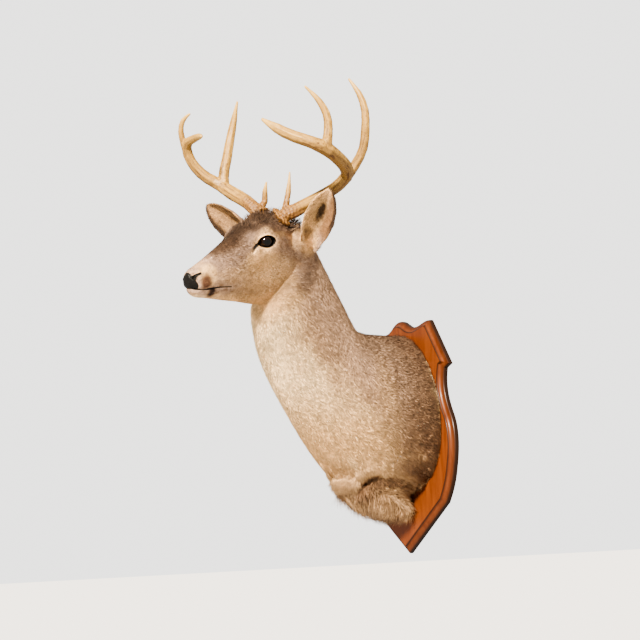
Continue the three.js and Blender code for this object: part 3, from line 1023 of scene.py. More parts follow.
def hollowness(mesh, lie):
    """How sharply the skin bends up ahead of the hair, as one over the radius in metres."""
    points, normals, edges = points_of(mesh), normals_of(mesh), edges_of(mesh)
    a, b = edges.T
    leg = points[a] - points[b]
    bend = -((normals[a] - normals[b]) * leg).sum(1) / np.maximum((leg**2).sum(1), 1e-10)
    weight = ((unit(leg) * lie[a]).sum(1)) ** 2
    count = len(points)
    total = np.bincount(a, weight, count) + np.bincount(b, weight, count)
    bends = np.bincount(a, weight * bend, count) + np.bincount(b, weight * bend, count)
    bends = bends / np.maximum(total, 1e-6)
    for _ in range(3):
        bends = np.maximum(bends, neighbour_mean(bends, edges))
    return neighbour_mean(bends, edges)


def groom(mesh):
    """Stores the lie, length, lift and cover of the hair on the skin."""
    points = rest_of(mesh)
    lie = coat_lie(points, normals_of(mesh))
    length = hair_length(points)
    store(mesh, "lie", lie)
    store(mesh, "hair", length)
    rise = np.clip(0.6 * length * hollowness(mesh, lie), 0, 0.7)
    store(mesh, "rise", rise * ease(BOARD_FACE - points[:, 1], 0.006, 0.020))
    store(mesh, "cover", hair_cover(mesh))


# ---------------- Tufts ----------------

# The size of each tuft's patch on its piece's bake map, the size of a chart in its cell of the
# map, and the clear margin beside it.
BAKE_PATCH = 0.003
CHART_SIZE = 0.96
CHART_MARGIN = 0.02

# What the skin stores for the coat to grow by, which the finished coat doesn't need.
GROWTH_ATTRIBUTES = ("lie", "hair", "rise", "cover", "region", "unwrap", "patch", "bare", "rest")


def tuft_template(name, hairs, spans, bend, fan):
    """A tuft one unit long: closed three-sided hairs from one root, fanned out and bent over."""
    random = np.random.default_rng(len(name) + hairs)
    bm = bmesh.new()
    along = bm.verts.layers.float.new("along")
    patch = bm.verts.layers.float_vector.new("patch")
    for hair in range(hairs):
        tilt = fan * (hair - (hairs - 1) / 2 + random.uniform(-0.2, 0.2))
        reach = 1 - 0.25 * random.random() * (hairs > 1)
        shape = (bm, along, patch, tilt, reach, bend)
        rings = [
            [hair_point(*shape, ring / spans, corner) for corner in range(3)]
            for ring in range(spans)
        ]
        tip = hair_point(*shape, 1.0, 0)
        bm.faces.new(rings[0][::-1])
        bridge(bm, rings)
        for corner in range(3):
            bm.faces.new([rings[-1][corner], rings[-1][(corner + 1) % 3], tip])
    mesh = mesh_from(bm, name)
    shade_smooth(mesh)
    return bpy.data.objects.new(name, mesh)


def hair_point(bm, along, patch, tilt, reach, bend, at, corner):
    """One corner of a hair's section, at this share of its length."""
    angle = math.radians(90 + 120 * corner)
    radius = 0.5 * (1 - at) ** 0.7
    across = radius * math.cos(angle)
    over = 0.45 * radius * math.sin(angle)
    length = at * reach
    vertex = bm.verts.new((across + tilt * length, over - bend * length**2, length))
    vertex[along] = at
    vertex[patch] = (across, length - 0.5, 0)
    return vertex


COAT_INPUTS = [
    ("Skin", "NodeSocketGeometry", None),
    ("Tuft", "NodeSocketObject", None),
    ("Density", "NodeSocketFloat", 100000.0),
    ("Width", "NodeSocketFloat", 0.001),
    ("Lift", "NodeSocketFloat", 0.2),
    ("Straggle", "NodeSocketFloat", 0.2),
    ("Root depth", "NodeSocketFloat", 0.0003),
    ("Seed", "NodeSocketInt", 1),
    ("Finish", "NodeSocketMaterial", None),
]


def named(graph, name, kind="FLOAT"):
    return graph.out("GeometryNodeInputNamedAttribute", {"Name": name}, data_type=kind)


def varied(graph, low, high, series):
    """A random value for each tuft, from a series of its own."""
    sockets = {2: low, 3: high, "Seed": graph.sum(graph.given["Seed"], float(series))}
    return graph.add("FunctionNodeRandomValue", sockets, data_type="FLOAT").outputs[1]


def stored(graph, geometry, name, value, kind, domain):
    node = "GeometryNodeStoreNamedAttribute"
    sockets = {"Geometry": geometry, "Name": name, "Value": value}
    return graph.out(node, sockets, data_type=kind, domain=domain)


def tuft_turn(graph, normal):
    """How each tuft is turned: its length along the hair's lie, lifted off the skin."""
    angle = graph.times(graph.given["Straggle"], varied(graph, -1.0, 1.0, 1))
    sockets = {"Vector": named(graph, "lie", "FLOAT_VECTOR"), "Axis": normal, "Angle": angle}
    flat = graph.out("ShaderNodeVectorRotate", sockets, rotation_type="AXIS_ANGLE")
    lift = graph.sum(graph.times(graph.given["Lift"], varied(graph, 0.5, 1.5, 2)), named(graph, "rise"))
    up = graph.vector("SCALE", normal, graph.calc("SINE", lift))
    direction = graph.vector("ADD", graph.vector("SCALE", flat, graph.calc("COSINE", lift)), up)
    align = "FunctionNodeAlignRotationToVector"
    turn = graph.out(align, {"Vector": direction}, axis="Z")
    sockets = {"Rotation": turn, "Vector": normal}
    return graph.out(align, sockets, axis="Y", pivot_axis="Z")


def tuft_size(graph):
    width = graph.times(graph.given["Width"], varied(graph, 0.7, 1.3, 4))
    length = graph.times(named(graph, "hair"), varied(graph, 0.7, 1.15, 3))
    return graph.out("ShaderNodeCombineXYZ", {0: width, 1: width, 2: length})


def coat_tree():
    """Geometry Nodes: tufts over a skin, laid along its hair direction and made real meshes."""
    outputs = [("Coat", "NodeSocketGeometry")]
    graph = node_group("coat over a skin", "GeometryNodeTree", COAT_INPUTS, outputs)
    given = graph.given
    density = graph.times(given["Density"], graph.times(named(graph, "cover"), named(graph, "region")))
    sockets = {"Mesh": given["Skin"], "Density": density, "Seed": given["Seed"]}
    scatter = graph.add("GeometryNodeDistributePointsOnFaces", sockets).outputs
    sunk = graph.vector("SCALE", scatter["Normal"], graph.times(given["Root depth"], -1.0))
    sockets = {"Geometry": scatter["Points"], "Offset": sunk}
    roots = graph.out("GeometryNodeSetPosition", sockets)
    tuft = graph.add("GeometryNodeObjectInfo", {"Object": given["Tuft"]}).outputs["Geometry"]
    sockets = {
        "Points": roots,
        "Instance": tuft,
        "Rotation": tuft_turn(graph, scatter["Normal"]),
        "Scale": tuft_size(graph),
    }
    tufts = graph.out("GeometryNodeInstanceOnPoints", sockets)
    tufts = stored(graph, tufts, "tint", varied(graph, 0.0, 1.0, 5), "FLOAT", "INSTANCE")
    coat = graph.out("GeometryNodeRealizeInstances", {"Geometry": tufts})
    shift = graph.vector("SCALE", named(graph, "patch", "FLOAT_VECTOR"), BAKE_PATCH)
    place = graph.vector("ADD", named(graph, "unwrap", "FLOAT_VECTOR"), shift)
    coat = stored(graph, coat, "OFBake", place, "FLOAT2", "CORNER")
    sockets = {"Geometry": coat, "Material": given["Finish"]}
    graph.put(graph.result["Coat"], graph.out("GeometryNodeSetMaterial", sockets))
    return graph.tree


def unwrap(mesh, chosen):
    """An unwrap of the chosen part of a skin: six flat charts, one for each way that faces look."""
    points = points_of(mesh)
    corners = numbers_in(mesh.loops, "vertex_index", 1, np.int32)
    totals = numbers_in(mesh.polygons, "loop_total", 1, np.int32)
    face_normals = numbers_in(mesh.polygons, "normal", 3)
    axis = np.abs(face_normals).argmax(1)
    looks = face_normals[np.arange(len(axis)), axis] > 0
    chart = np.repeat(axis * 2 + looks, totals)
    used = chosen[corners]
    uv = np.zeros((len(corners), 2))
    for index in range(6):
        inside = chart == index
        flat = np.delete(points[corners[inside]], index // 2, axis=1)
        seen = flat[used[inside]]
        if not len(seen):
            continue
        low = seen.min(0)
        scale = CHART_SIZE / max((seen.max(0) - low).max(), 1e-6)
        cell = np.array([index % 3, index // 3])
        local = CHART_MARGIN + (flat - low) * scale
        uv[inside] = (cell + local) / np.array([3, 2])
    attribute = mesh.attributes.get("unwrap") or mesh.attributes.new("unwrap", "FLOAT2", "CORNER")
    attribute.data.foreach_set("vector", uv.astype(np.float32).ravel())


def grow_coat(
    name, ground, region, look, density, width, lift, seed, straggle=0.18, root_depth=0.0003
):
    """One piece of the coat, over the part of the ground mesh where region is above 0.

    The look is its tuft, its material and a slot, which is not used. Density is tufts to a square
    metre, width and root depth are in metres, and lift and straggle are angles in radians.
    """
    tuft, material, slot = look
    store(ground, "region", region.astype(float))
    unwrap(ground, region > 0)
    holder = new_object(name, ground.copy())
    modifier = holder.modifiers.new("coat", "NODES")
    modifier.node_group = COAT_TREE
    values = {
        "Tuft": tuft,
        "Finish": material,
        "Density": density,
        "Width": width,
        "Lift": lift,
        "Straggle": straggle,
        "Root depth": root_depth,
        "Seed": seed,
    }
    for item in COAT_TREE.interface.items_tree:
        if item.in_out == "INPUT" and item.name in values:
            modifier[item.identifier] = values[item.name]
    mesh = baked(holder)
    holder.data = mesh
    for attribute in GROWTH_ATTRIBUTES:
        if attribute in mesh.attributes:
            mesh.attributes.remove(mesh.attributes[attribute])
    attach(holder, "root")


# ---------------- Finishes ----------------


def coat_tone_group():
    """Hair colour: the marking, mottled in patches, with dark roots, pale tips and uneven tufts."""
    inputs = [
        ("Marking", "NodeSocketColor", (0.3, 0.2, 0.13, 1)),
        ("Along", "NodeSocketFloat", 0.5),
        ("Tint", "NodeSocketFloat", 0.5),
        ("Contrast", "NodeSocketFloat", 1.0),
    ]
    outputs = [("Color", "NodeSocketColor"), ("Height", "NodeSocketFloat")]
    graph = node_group("coat tone", "ShaderNodeTree", inputs, outputs)
    given = graph.given
    place = graph.place()
    specks = graph.noise(place, 420, 2, 0.6)
    light = graph.times(
        graph.step(given["Along"], 0.0, 0.9, 0.62, 1.06),
        graph.step(given["Tint"], 0.0, 0.5, 0.74, 1.06),
    )
    light = graph.times(light, graph.step(graph.noise(place, 32, 3, 0.6), 0.3, 0.7, 0.86, 1.12))
    light = graph.times(light, graph.step(graph.noise(place, 130, 2, 0.6), 0.32, 0.68, 0.82, 1.12))
    light = graph.times(light, graph.step(specks, 0.3, 0.7, 0.84, 1.12))
    light = graph.sum(graph.times(graph.calc("SUBTRACT", light, 1.0), given["Contrast"]), 1.0)
    graph.put(graph.result["Color"], graph.lit(given["Marking"], light))
    graph.put(graph.result["Height"], specks)
    return graph.tree


# How much hair and skin shine.
SHINE = 0.18


def hair_material(name, group, roughness, contrast):
    material, graph = new_material(name)
    sockets = {
        "Marking": graph.attribute("marking", "Color"),
        "Along": graph.attribute("along"),
        "Tint": graph.attribute("tint"),
        "Contrast": contrast,
    }
    tone = graph.add("ShaderNodeGroup", sockets, node_tree=group).outputs["Color"]
    graph.fill(graph.shader, {"Base Color": tone, "Roughness": roughness, "Specular IOR Level": SHINE})
    return material


def skin_material(group):
    """Under the tufts: the same markings a little darker, as painted shade under the coat, and wet
    black leather on nose and lips.
    """
    material, graph = new_material("deer skin")
    marking = graph.attribute("marking", "Color")
    bare = graph.attribute("bare")
    # Along 0.42 darkens the markings a little: painted shade under the coat.
    sockets = {"Marking": marking, "Along": 0.42, "Tint": 0.5}
    tone = graph.add("ShaderNodeGroup", sockets, node_tree=group).outputs
    sockets = {"Vector": graph.place(), "Scale": 620.0}
    pebbles = graph.add("ShaderNodeTexVoronoi", sockets).outputs["Distance"]
    height = graph.times(graph.times(pebbles, bare), 1.6)
    height = graph.sum(height, graph.times(tone["Height"], graph.calc("SUBTRACT", 1.0, bare)))
    graph.fill(graph.shader, {
        "Base Color": graph.mix(bare, tone["Color"], marking),
        "Roughness": graph.step(bare, 0.0, 1.0, 0.85, 0.30),
        "Specular IOR Level": SHINE,
        "Normal": graph.bump(height, 0.35, 0.0012),
    })
    return material


def glass_eye_material():
    """Very dark brown glass with a wide, level pupil, under a clear polished face."""
    material, graph = new_material("eye glass")
    streaks = graph.noise(graph.place(), 900, 2)
    brown = graph.mix(streaks, (0.003, 0.0015, 0.001), (0.007, 0.003, 0.0015))
    edge = graph.mix(graph.attribute("iris"), (0.006, 0.004, 0.003), brown)
    graph.fill(graph.shader, {
        "Base Color": graph.mix(graph.attribute("pupil"), edge, (0.002, 0.002, 0.002)),
        "Roughness": 0.08,
        "Specular IOR Level": 0.2,
        "Coat Weight": 0.6,
        "Coat Roughness": 0.05,
    })
    return material


def antler_material():
    """Golden bone: dark in the grooves and round the burr, polished ivory at the points."""
    material, graph = new_material("antler bone")
    place = graph.place()
    blotches = graph.noise(place, 70, 4, 0.65)
    fine = graph.noise(place, 600, 3, 0.7)
    broad_light = graph.step(blotches, 0.25, 0.75, 0.82, 1.14)
    light = graph.times(broad_light, graph.step(fine, 0.25, 0.75, 0.85, 1.1))
    graph.fill(graph.shader, {
        "Base Color": graph.lit(graph.attribute("bone", "Color"), light),
        "Roughness": graph.step(blotches, 0.3, 0.7, 0.42, 0.6),
        "Specular IOR Level": 0.28,
        "Normal": graph.bump(fine, 0.25, 0.0006),
    })
    return material


def wood_material():
    """Satin varnished wood with an upright grain, with painted shade darkening its moulded edge."""
    material, graph = new_material("stained wood")
    place = graph.place()
    grain = graph.noise(graph.stretched(place, (9, 9, 0.9)), 9, 6, 0.6, 0.6)
    pores = graph.noise(graph.stretched(place, (60, 60, 2.2)), 14, 3, 0.7)
    colour = graph.mix(graph.step(grain, 0.3, 0.72), (0.080, 0.020, 0.006), (0.120, 0.033, 0.009))
    colour = graph.mix(graph.step(pores, 0.5, 0.8, 0.0, 0.45), colour, (0.045, 0.012, 0.005))
    graph.fill(graph.shader, {
        # The edge attribute is painted shade on the moulding.
        "Base Color": graph.mix(graph.attribute("edge"), colour, (0.014, 0.006, 0.003)),
        "Roughness": graph.step(grain, 0.3, 0.7, 0.30, 0.42),
        "Specular IOR Level": 0.15,
        "Coat Weight": 0.05,
        "Coat Roughness": 0.16,
        "Normal": graph.bump(pores, 0.12, 0.0005),
    })
    return material


# ---------------- Eyes ----------------

EYE_RINGS = 40
EYE_SPOKES = 48


def eye_points():
    """A ball with a raised clear face, as a point in front, rings of points, and a point behind."""
    points = [(EYE_RADIUS + 1.0) * EYE_OUT]
    for ring in range(1, EYE_RINGS):
        angle = math.pi * ring / EYE_RINGS
        radius = EYE_RADIUS - 0.5 + 1.5 * math.exp(-((angle / 0.62) ** 4))
        for spoke in range(EYE_SPOKES):
            turn = 2 * math.pi * spoke / EYE_SPOKES
            flat = math.sin(angle) * (math.cos(turn) * EYE_BACK + math.sin(turn) * UP)
            points.append(radius * (math.cos(angle) * EYE_OUT + flat))
    points.append(-(EYE_RADIUS - 0.5) * EYE_OUT)
    return np.array(points)


def eye_faces():
    """Faces from the point in front, between the rings, and to the point behind."""
    faces = []
    last = 1 + (EYE_RINGS - 2) * EYE_SPOKES
    for spoke in range(EYE_SPOKES):
        following = (spoke + 1) % EYE_SPOKES
        faces.append((0, 1 + spoke, 1 + following))
        for a in range(1, last, EYE_SPOKES):
            b = a + EYE_SPOKES
            faces.append((a + spoke, b + spoke, b + following, a + following))
        faces.append((last + following, last + spoke, last + EYE_SPOKES))
    return faces


def eye_mesh(side):
    """A glass eye, with the places of its pupil and iris stored on it."""
    points = eye_points()
    back, up, out = points @ EYE_BACK, points @ UP, points @ EYE_OUT
    mesh = bpy.data.meshes.new("eye")
    mesh.from_pydata(from_head(mirrored(points + EYE_CENTRE, side)).tolist(), [], eye_faces())
    pupil = fade(np.hypot(back / 8.2, up / 5.2), 0.9, 1.05)
    iris = fade(np.hypot(back / 12.5, up / 11.5), 0.9, 1.08)
    store(mesh, "pupil", pupil * (out > 0))
    store(mesh, "iris", iris * (out > 0))
    with editing(mesh) as bm:
        bmesh.ops.recalc_face_normals(bm, faces=bm.faces)
    shade_smooth(mesh)
    return mesh


# ---------------- Antlers ----------------

ANTLER_PARTS = ["beam", "beam_tip", "brow_tine", "second_tine", "third_tine"]

# The middle of each burr and the points of the tines and beams, in the head's frame.
BURRS = {"left": (32, 237, 90), "right": (-32, 239, 93)}
TIPS = {
    "left": [(85, 149, 286), (30, 273, 176), (149, 331, 349), (156, 197, 341)],
    "right": [(-104, 168, 257), (-30, 266, 157), (-143, 313, 319), (-162, 196, 302)],
}

# Colours of the antlers, as linear red, green and blue.
BONE = (0.270, 0.150, 0.036)
IVORY = (0.470, 0.290, 0.080)
HORN_BROWN = (0.150, 0.066, 0.020)
# Brown of the grooves, also used as painted shade on the undersides.
GROOVE_AND_SHADE_BROWN = (0.055, 0.022, 0.008)

# Rounds of averaging that draw an antler's surface in to the middle of each branch.
CORE_ROUNDS = 120


def antler_grooves(mesh):
    """Ridges and grooves that run along each branch, as values from about -1 to 1."""
    points = points_of(mesh)
    edges = edges_of(mesh)
    core = points
    for _ in range(CORE_ROUNDS):
        core = neighbour_mean(core, edges)
    around = unit(points - core)
    broad = wavering(around + core / 0.16, 0.62, 3)
    fine = wavering(around + core / 0.11, 0.30, 4)
    return 0.6 * broad + 0.55 * fine


def antler_colours(normals, grooves, beads, from_burr, from_tip):
    """Painted shade on the undersides; dark in the grooves and round the burr, and pale on the ridges
    and at the points.
    """
    # Painted shade: the undersides are darkened, and the pale of the ridges is kept off them.
    low = ease(-normals[:, 2], -0.1, 0.9)
    burr = fade(from_burr, 24, 70)
    return laid_over(
        np.tile(BONE, (len(normals), 1)),
        (GROOVE_AND_SHADE_BROWN, 0.55 * low * ease(from_tip, 20, 120)),
        (IVORY, 0.7 * fade(from_tip, 6, 50)),
        (IVORY, 0.55 * ease(grooves, 0.1, 0.7) * (1 - low)),
        (GROOVE_AND_SHADE_BROWN, 0.85 * ease(-grooves, 0.1, 0.65) * ease(from_tip, 10, 110)),
        (HORN_BROWN, 0.7 * burr),
        (GROOVE_AND_SHADE_BROWN, 0.8 * burr * ease(-beads, -0.2, 0.5)),
    )


def build_antler(name, material):
    """One antler in one piece, grooved along its branches and beaded round the burr."""
    mesh = remeshed(merged_copy([f"antler_{name}_{part}" for part in ANTLER_PARTS]), ANTLER_VOXEL)
    relax(mesh, 8, 0.9)
    points = points_of(mesh)
    local = in_head(points)
    from_burr = distance(local, BURRS[name])
    from_tip = np.min([distance(local, tip) for tip in TIPS[name]], axis=0)
    grooves = antler_grooves(mesh)
    beads = wavering(local, 6.5, 5)
    depth = (0.45 + 0.75 * fade(from_burr, 30, 190)) * ease(from_tip, 2, 60)
    knobs = 1.6 * fade(from_burr, 18, 32) + 0.6 * fade(from_burr, 26, 70)
    rise = depth * grooves + knobs * beads
    move_points(mesh, points + normals_of(mesh) * (rise * MM)[:, None])
    store_colours(mesh, "bone", antler_colours(normals_of(mesh), grooves, beads, from_burr, from_tip))
    shade_smooth(mesh)
    mesh.materials.append(material)
    antler = new_object(f"antler_{name}", mesh)
    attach(antler, "root")
    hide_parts(*[f"antler_{name}_{part}" for part in ANTLER_PARTS])


# ---------------- Board ----------------

# Right half of the outline in millimetres, from the top to the bottom point: straight runs have
# one point and curves have two handles and a point.
BOARD_TOP = (0, 243)
BOARD_RUNS = [
    [(26, 243), (34, 224), (60, 223)],
    [(84, 222), (98, 233), (122, 229)],
    [(188, 132)],
    [(170, 125)],
    [(160, 96), (165, 66), (186, 29)],
    [(200, 0), (199, -36), (188, -72)],
    [(182, -98), (171, -119), (153, -143)],
    [(0, -243)],
]

# The moulded edge: how far in and how far out from the wall, in millimetres, and how much painted shade
# darkens it, most on its outer side and in a line by the flat front.
MOULDING = [
    (0.4, 0, 1), (0.1, 0.6, 1), (0, 3, 1), (0, 6.4, 1), (0.3, 8, 0.95),
    (1, 9.2, 0.8), (2.2, 10, 0.65), (3.4, 10.4, 0.5), (5.2, 10.7, 0.4), (7, 11.4, 0.35),
    (8.4, 12.5, 0.25), (9.6, 14, 0.2), (10.2, 15.6, 0.3), (10.6, 17, 0.6), (11.0, 18.2, 0.9),
    (11.6, 18.7, 0.9), (12.4, 18.9, 0.8), (13.4, 19, 0.2), (15, 19, 0),
]
CURVE_STEPS = 14


def board_outline():
    """The whole outline, anticlockwise seen from the front, with many points on the curves."""
    right = [Vector(BOARD_TOP)]
    for run in BOARD_RUNS:
        start = right[-1]
        if len(run) == 1:
            right.append(Vector(run[0]))
            continue
        handles = [start, *(Vector(point) for point in run)]
        for step in range(1, CURVE_STEPS + 1):
            t = step / CURVE_STEPS
            shares = ((1 - t) ** 3, 3 * t * (1 - t) ** 2, 3 * t**2 * (1 - t), t**3)
            right.append(sum((share * point for share, point in zip(shares, handles)), Vector((0, 0))))
    left = [Vector((-point.x, point.y)) for point in right[1:-1]]
    return right + left[::-1]


def moved_in(outline, inset):
    """The outline with its edge moved in by this much all round."""
    moved = []
    for index, point in enumerate(outline):
        arriving = (point - outline[index - 1]).normalized()
        leaving = (outline[(index + 1) % len(outline)] - point).normalized()
        first = Vector((arriving.y, -arriving.x))
        mitre = (first + Vector((leaving.y, -leaving.x))).normalized()
        moved.append(point + mitre * (inset / mitre.dot(first)))
    return moved


def build_board(material):
    """The wall board: a moulded edge round a flat front and a flat back."""
    outline = board_outline()
    bm = bmesh.new()
    edge = bm.verts.layers.float.new("edge")
    rings = []
    for inset, out, dark in MOULDING:
        corners = moved_in(outline, inset)
        ring = [bm.verts.new((point.x * MM, -out * MM, point.y * MM)) for point in corners]
        for vertex in ring:
            # Each ring stores its painted shade.
            vertex[edge] = dark
        rings.append(ring)
    bridge(bm, rings)
    bm.faces.new(rings[0])
    bm.faces.new(rings[-1])
    bmesh.ops.recalc_face_normals(bm, faces=bm.faces)
    bmesh.ops.triangulate(bm, faces=[face for face in bm.faces if len(face.verts) > 4])
    mesh = mesh_from(bm, "wall_board")
    shade_smooth(mesh)
    mesh.set_sharp_from_angle(angle=math.radians(35))
    mesh.materials.append(material)
    board = new_object("wall_board", mesh)
    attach(board, "root")
    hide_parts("board")


# ---------------- The animal ----------------

COAT_TREE = coat_tree()
COAT_TONE = coat_tone_group()
HAIR = hair_material("short hair", COAT_TONE, 0.72, 1.0)
LONG_HAIR = hair_material("long hair", COAT_TONE, 0.55, 1.5)


def add_skin():
    """Adds the skin. Returns the ground for the coat: the same mesh, with its growth on it."""
    mesh = build_skin()
    paint(mesh)
    groom(mesh)
    local = in_head(rest_of(mesh))
    folded = mirrored_abs(local)
    bare = np.maximum(nose_share(local), 0.5 - 0.5 * ease(mouth_gap(folded), 1.8, 3.0))
    bare = np.maximum(bare, fade(lid_gap(local), 1.0, 2.0))
    store(mesh, "bare", bare)
    skin = new_object("skin", mesh.copy())
    skin.data.materials.append(skin_material(COAT_TONE))
    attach(skin, "root")
    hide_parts("nose", "brisket_fringe", *FLESH)
    return mesh


def coat_pieces(points):
    """Pieces of the short coat: name, part of the skin, density, width and lift."""
    local = in_head(points)
    x, y, z = points.T
    head = head_share(points) > 0.5
    on_leaf = np.maximum(*(ear_leaf(local, name, 0.11, 0.13) for name in EARS)) > 0.5
    leaves = on_leaf & (np.abs(local[:, 0]) > 60) & head
    skull = head & ~leaves
    front, left = local[:, 1] < 165, local[:, 0] > 0
    neck, near = ~head & (z > 0.11), x > 0.035
    chest = ~head & ~neck & (y <= -0.13)
    shoulder = ~head & ~neck & ~chest
    # Where the long locks of the brisket lie over it, the short coat is thinner.
    thin = 1 - 0.65 * ease(brisket_share(points), 0.4, 0.8) * ease(fold_gap(points), 0.014, 0.022)
    return [
        ("coat_face_left", skull & front & left, 1.25e6, 0.0008, 0.2),
        ("coat_face_right", skull & front & ~left, 1.25e6, 0.0008, 0.2),
        ("coat_cheek_left", skull & ~front & left, 0.95e6, 0.0010, 0.2),
        ("coat_cheek_right", skull & ~front & ~left, 0.95e6, 0.0010, 0.2),
        ("coat_ears", leaves, 0.78e6, 0.0009, 0.1),
        ("coat_neck_left", neck & near, 0.42e6, 0.0014, 0.16),
        ("coat_neck_right", neck & ~near, 0.36e6, 0.0015, 0.16),
        ("coat_shoulder_left", thin * (shoulder & (x > 0)), 0.46e6, 0.0016, 0.13),
        ("coat_shoulder_right", thin * (shoulder & (x <= 0)), 0.40e6, 0.0016, 0.13),
        ("coat_chest_left", thin * (chest & (x > 0)), 0.5e6, 0.0015, 0.13),
        ("coat_chest_right", thin * (chest & (x <= 0)), 0.44e6, 0.0015, 0.13),
    ]


def add_coat(ground):
    """Short hair all over the animal, in pieces for the parts of the body."""
    look = (tuft_template("single hair", 1, 1, 0.0, 0.0), HAIR, "coat")
    for seed, (name, region, *sizes) in enumerate(coat_pieces(rest_of(ground)), 1):
        grow_coat(name, ground, region, look, *sizes, seed)


def add_forehead_tuft(ground):
    """Long dark hair between and behind the burrs, standing up and falling forwards."""
    local = in_head(points_of(ground))
    folded = mirrored_abs(local)
    forelock = spot(folded, (0, 208, 93), (50, 52, 28))
    # The second spot fills the hollow between burr and ear with dark hair, partly as painted shade.
    crown = np.maximum(forelock, spot(folded, (42, 252, 70), (16, 22, 18)))
    behind_burr = ease(local[:, 1], 228, 244)
    ground = ground.copy()
    store(ground, "hair", (9 + 13 * crown + 8 * behind_burr) * MM)
    store(ground, "rise", 0.5 * behind_burr)
    look = (tuft_template("forehead lock", 3, 3, 0.22, 0.18), LONG_HAIR, "long_hair")
    sizes = {"density": 3.4e5, "width": 0.0011, "lift": 0.5, "straggle": 0.9, "root_depth": 0.0005}
    grow_coat("forehead_tuft", ground, crown, look, seed=31, **sizes)


def ear_fringe(local, normals):
    """How much long hair grows inside the front edge of an ear, and which way it lies."""
    edge = np.zeros(len(local))
    lie = np.zeros((len(local), 3))
    for name, (_, axis, opening) in EARS.items():
        at, across, _ = ear_place(local, name)
        leaf = ear_leaf(local, name, 0.02, 0.12) * fade(at, 0.75, 0.92)
        inner = leaf * ease(normals @ unit(opening), -0.1, 0.3)
        rim = inner * (np.abs(local[:, 0]) > 60) * ease(-across, 6, 16)
        inward = -np.sign(across)[:, None] * unit(np.cross(axis, opening))
        swept = turned_from_head(0.75 * unit(axis) + 0.5 * inward)
        edge = np.maximum(edge, rim)
        lie = np.where(rim[:, None] > 0, swept, lie)
    return edge, lie


def add_ear_fringes(ground):
    """Long pale hair inside the front edges of the ears and over their roots."""
    local = in_head(points_of(ground))
    normals = normals_of(ground)
    edge, lie = ear_fringe(local, normals @ HEAD_AXES)
    root = spot(mirrored_abs(local), (70, 256, 40), (24, 24, 26)) * (edge < 0.1)
    upward = np.stack([0.5 * np.sign(local[:, 0]), 0 * edge + 0.35, 0 * edge + 0.8], -1)
    lie = np.where(edge[:, None] > 0.1, lie, turned_from_head(upward))
    ground = ground.copy()
    store(ground, "lie", along_skin(lie, normals))
    store(ground, "hair", np.full(len(local), 0.014))
    store(ground, "rise", np.zeros(len(local)))
    store(ground, "cover", np.ones(len(local)))
    look = (tuft_template("ear lock", 2, 2, 0.1, 0.12), LONG_HAIR, "pale_coat")
    region = np.maximum(edge, 0.7 * root)
    sizes = {"density": 2.6e5, "width": 0.0006, "lift": 0.14, "straggle": 0.3}
    grow_coat("ear_fringes", ground, region, look, seed=41, **sizes)


def brisket_lie(points, tuft, hollow):
    """Down and a little inwards, back by the board and in the fold, and forwards in the tuft."""
    x, y, _ = points.T
    rear = ease(y, -0.09, -0.04)
    lie = np.stack([np.sign(x) * (0.4 * rear - 0.32), 0.25 * rear - 0.05, np.full(len(x), -0.9)], -1)
    lie += 0.22 * wavering_ways(points, 0.07, 23)
    lie += hollow[:, None] * np.array([0.0, 1.3, 0.35])
    lie += tuft[:, None] * np.array([0.0, -0.9, 0.2])
    return lie


def add_brisket(ground):
    """Long bent locks over the roll under the chest, and a tuft in front. They end before the board."""
    ground = ground.copy()
    points = rest_of(ground)
    x, y, _ = points.T
    tuft = fade(distance(points, FRONT_TUFT), 0.012, 0.024)
    gap = fold_gap(points)
    hollow = fade(gap, 0.020, 0.036) * ease(y, -0.15, -0.13)
    region = ease(brisket_share(points), 0.4, 0.8) * ease(gap, 0.014, 0.022)
    region = np.maximum(region, 0.6 * tuft)
    lie = along_skin(brisket_lie(points, tuft, hollow), normals_of(ground))
    length = (0.040 + 0.009 * wavering(points, 0.05, 26)) * (1 - 0.5 * np.maximum(tuft, hollow))
    room = (BOARD_FACE - y) / (0.35 + np.maximum(lie[:, 1], 0))
    store(ground, "lie", lie)
    store(ground, "hair", np.minimum(length, room))
    store(ground, "rise", np.zeros(len(points)))
    look = (tuft_template("brisket lock", 2, 3, 0.30, 0.10), LONG_HAIR, "long_hair")
    sizes = {"density": 1.0e5, "width": 0.0013, "lift": 0.26, "straggle": 0.25, "root_depth": 0.001}
    for name, part in (("brisket_fringe_left", x > 0), ("brisket_fringe_right", x <= 0)):
        grow_coat(name, ground, region * part, look, seed=51, **sizes)


def add_eyes():
    glass = glass_eye_material()
    for name, side in (("left", 1), ("right", -1)):
        mesh = eye_mesh(side)
        mesh.materials.append(glass)
        eye = new_object(f"glass_eye_{name}", mesh)
        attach(eye, "root")
        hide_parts(f"eye_{name}")


skin_ground = add_skin()
add_coat(skin_ground)
add_forehead_tuft(skin_ground)
add_ear_fringes(skin_ground)
add_brisket(skin_ground)
add_eyes()
bone = antler_material()
build_antler("left", bone)
build_antler("right", bone)
build_board(wood_material())


# ---------------- Camera, light and floor ----------------

# Where the camera stands, and the ways to its right and up.
CAMERA_PLACE = Vector((2.36915, -1.39674, -0.16219))
CAMERA_RIGHT = Vector((0.4463788, 0.8941542, -0.0351308))
CAMERA_UP = Vector((0.1496955, -0.0359098, 0.9880798))

# How bright the surroundings are as a light, and to look at.
WORLD_LIGHT = 0.7
WORLD_SEEN = 2.2

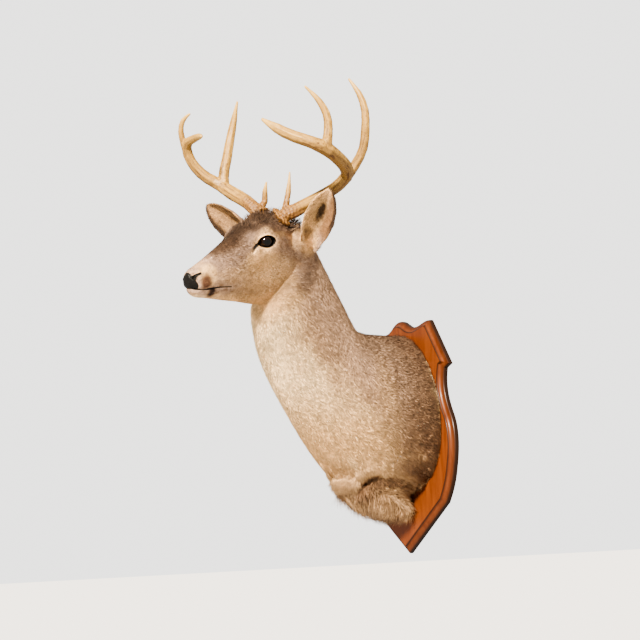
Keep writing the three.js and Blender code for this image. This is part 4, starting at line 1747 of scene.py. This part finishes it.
FLOOR_HEIGHT = -1.5
FLOOR_HALF_WIDTH = 30


def add_camera():
    data = bpy.data.cameras.new("camera")
    data.lens = 73.1
    data.sensor_width = 36
    data.clip_end = 100
    camera = new_object("camera", data)
    turn = Matrix((CAMERA_RIGHT, CAMERA_UP, CAMERA_RIGHT.cross(CAMERA_UP))).transposed()
    camera.matrix_world = Matrix.Translation(CAMERA_PLACE) @ turn.to_4x4()
    bpy.context.scene.camera = camera


def add_sun(name, azimuth, height, strength, width, colour):
    """A broad far light, at this angle from the front to the animal's left, and above."""
    data = bpy.data.lights.new(name, "SUN")
    data.energy = strength
    data.angle = math.radians(width)
    data.color = colour
    light = new_object(name, data)
    azimuth, height = math.radians(azimuth), math.radians(height)
    level = math.cos(height)
    towards = Vector((level * math.sin(azimuth), -level * math.cos(azimuth), math.sin(height)))
    light.matrix_world = towards.to_track_quat("Z", "Y").to_matrix().to_4x4()


def add_world():
    """Pale surroundings: bright to look at, and dimmer as a light."""
    world = bpy.data.worlds.new("studio")
    bpy.context.scene.world = world
    world.use_nodes = True
    graph = Graph(world.node_tree)
    background = world.node_tree.nodes["Background"]
    graph.put(background.inputs["Color"], (0.82, 0.81, 0.79))
    seen = graph.add("ShaderNodeLightPath").outputs["Is Camera Ray"]
    graph.put(background.inputs["Strength"], graph.step(seen, 0.0, 1.0, WORLD_LIGHT, WORLD_SEEN))
    bpy.context.scene.view_settings.look = "AgX - Medium High Contrast"


def add_floor():
    material, graph = new_material("studio floor")
    graph.fill(graph.shader, {"Base Color": (0.78, 0.77, 0.75), "Roughness": 0.9})
    bm = bmesh.new()
    far = FLOOR_HALF_WIDTH
    corners = [(-far, -far), (far, -far), (far, far), (-far, far)]
    bm.faces.new([bm.verts.new((x, y, FLOOR_HEIGHT)) for x, y in corners])
    mesh = mesh_from(bm, "floor")
    mesh.materials.append(material)
    floor = new_object("floor", mesh)
    floor.visible_glossy = False


add_camera()
add_sun("key", azimuth=46, height=27, strength=19, width=7, colour=(1.0, 0.91, 0.80))
add_world()
add_floor()
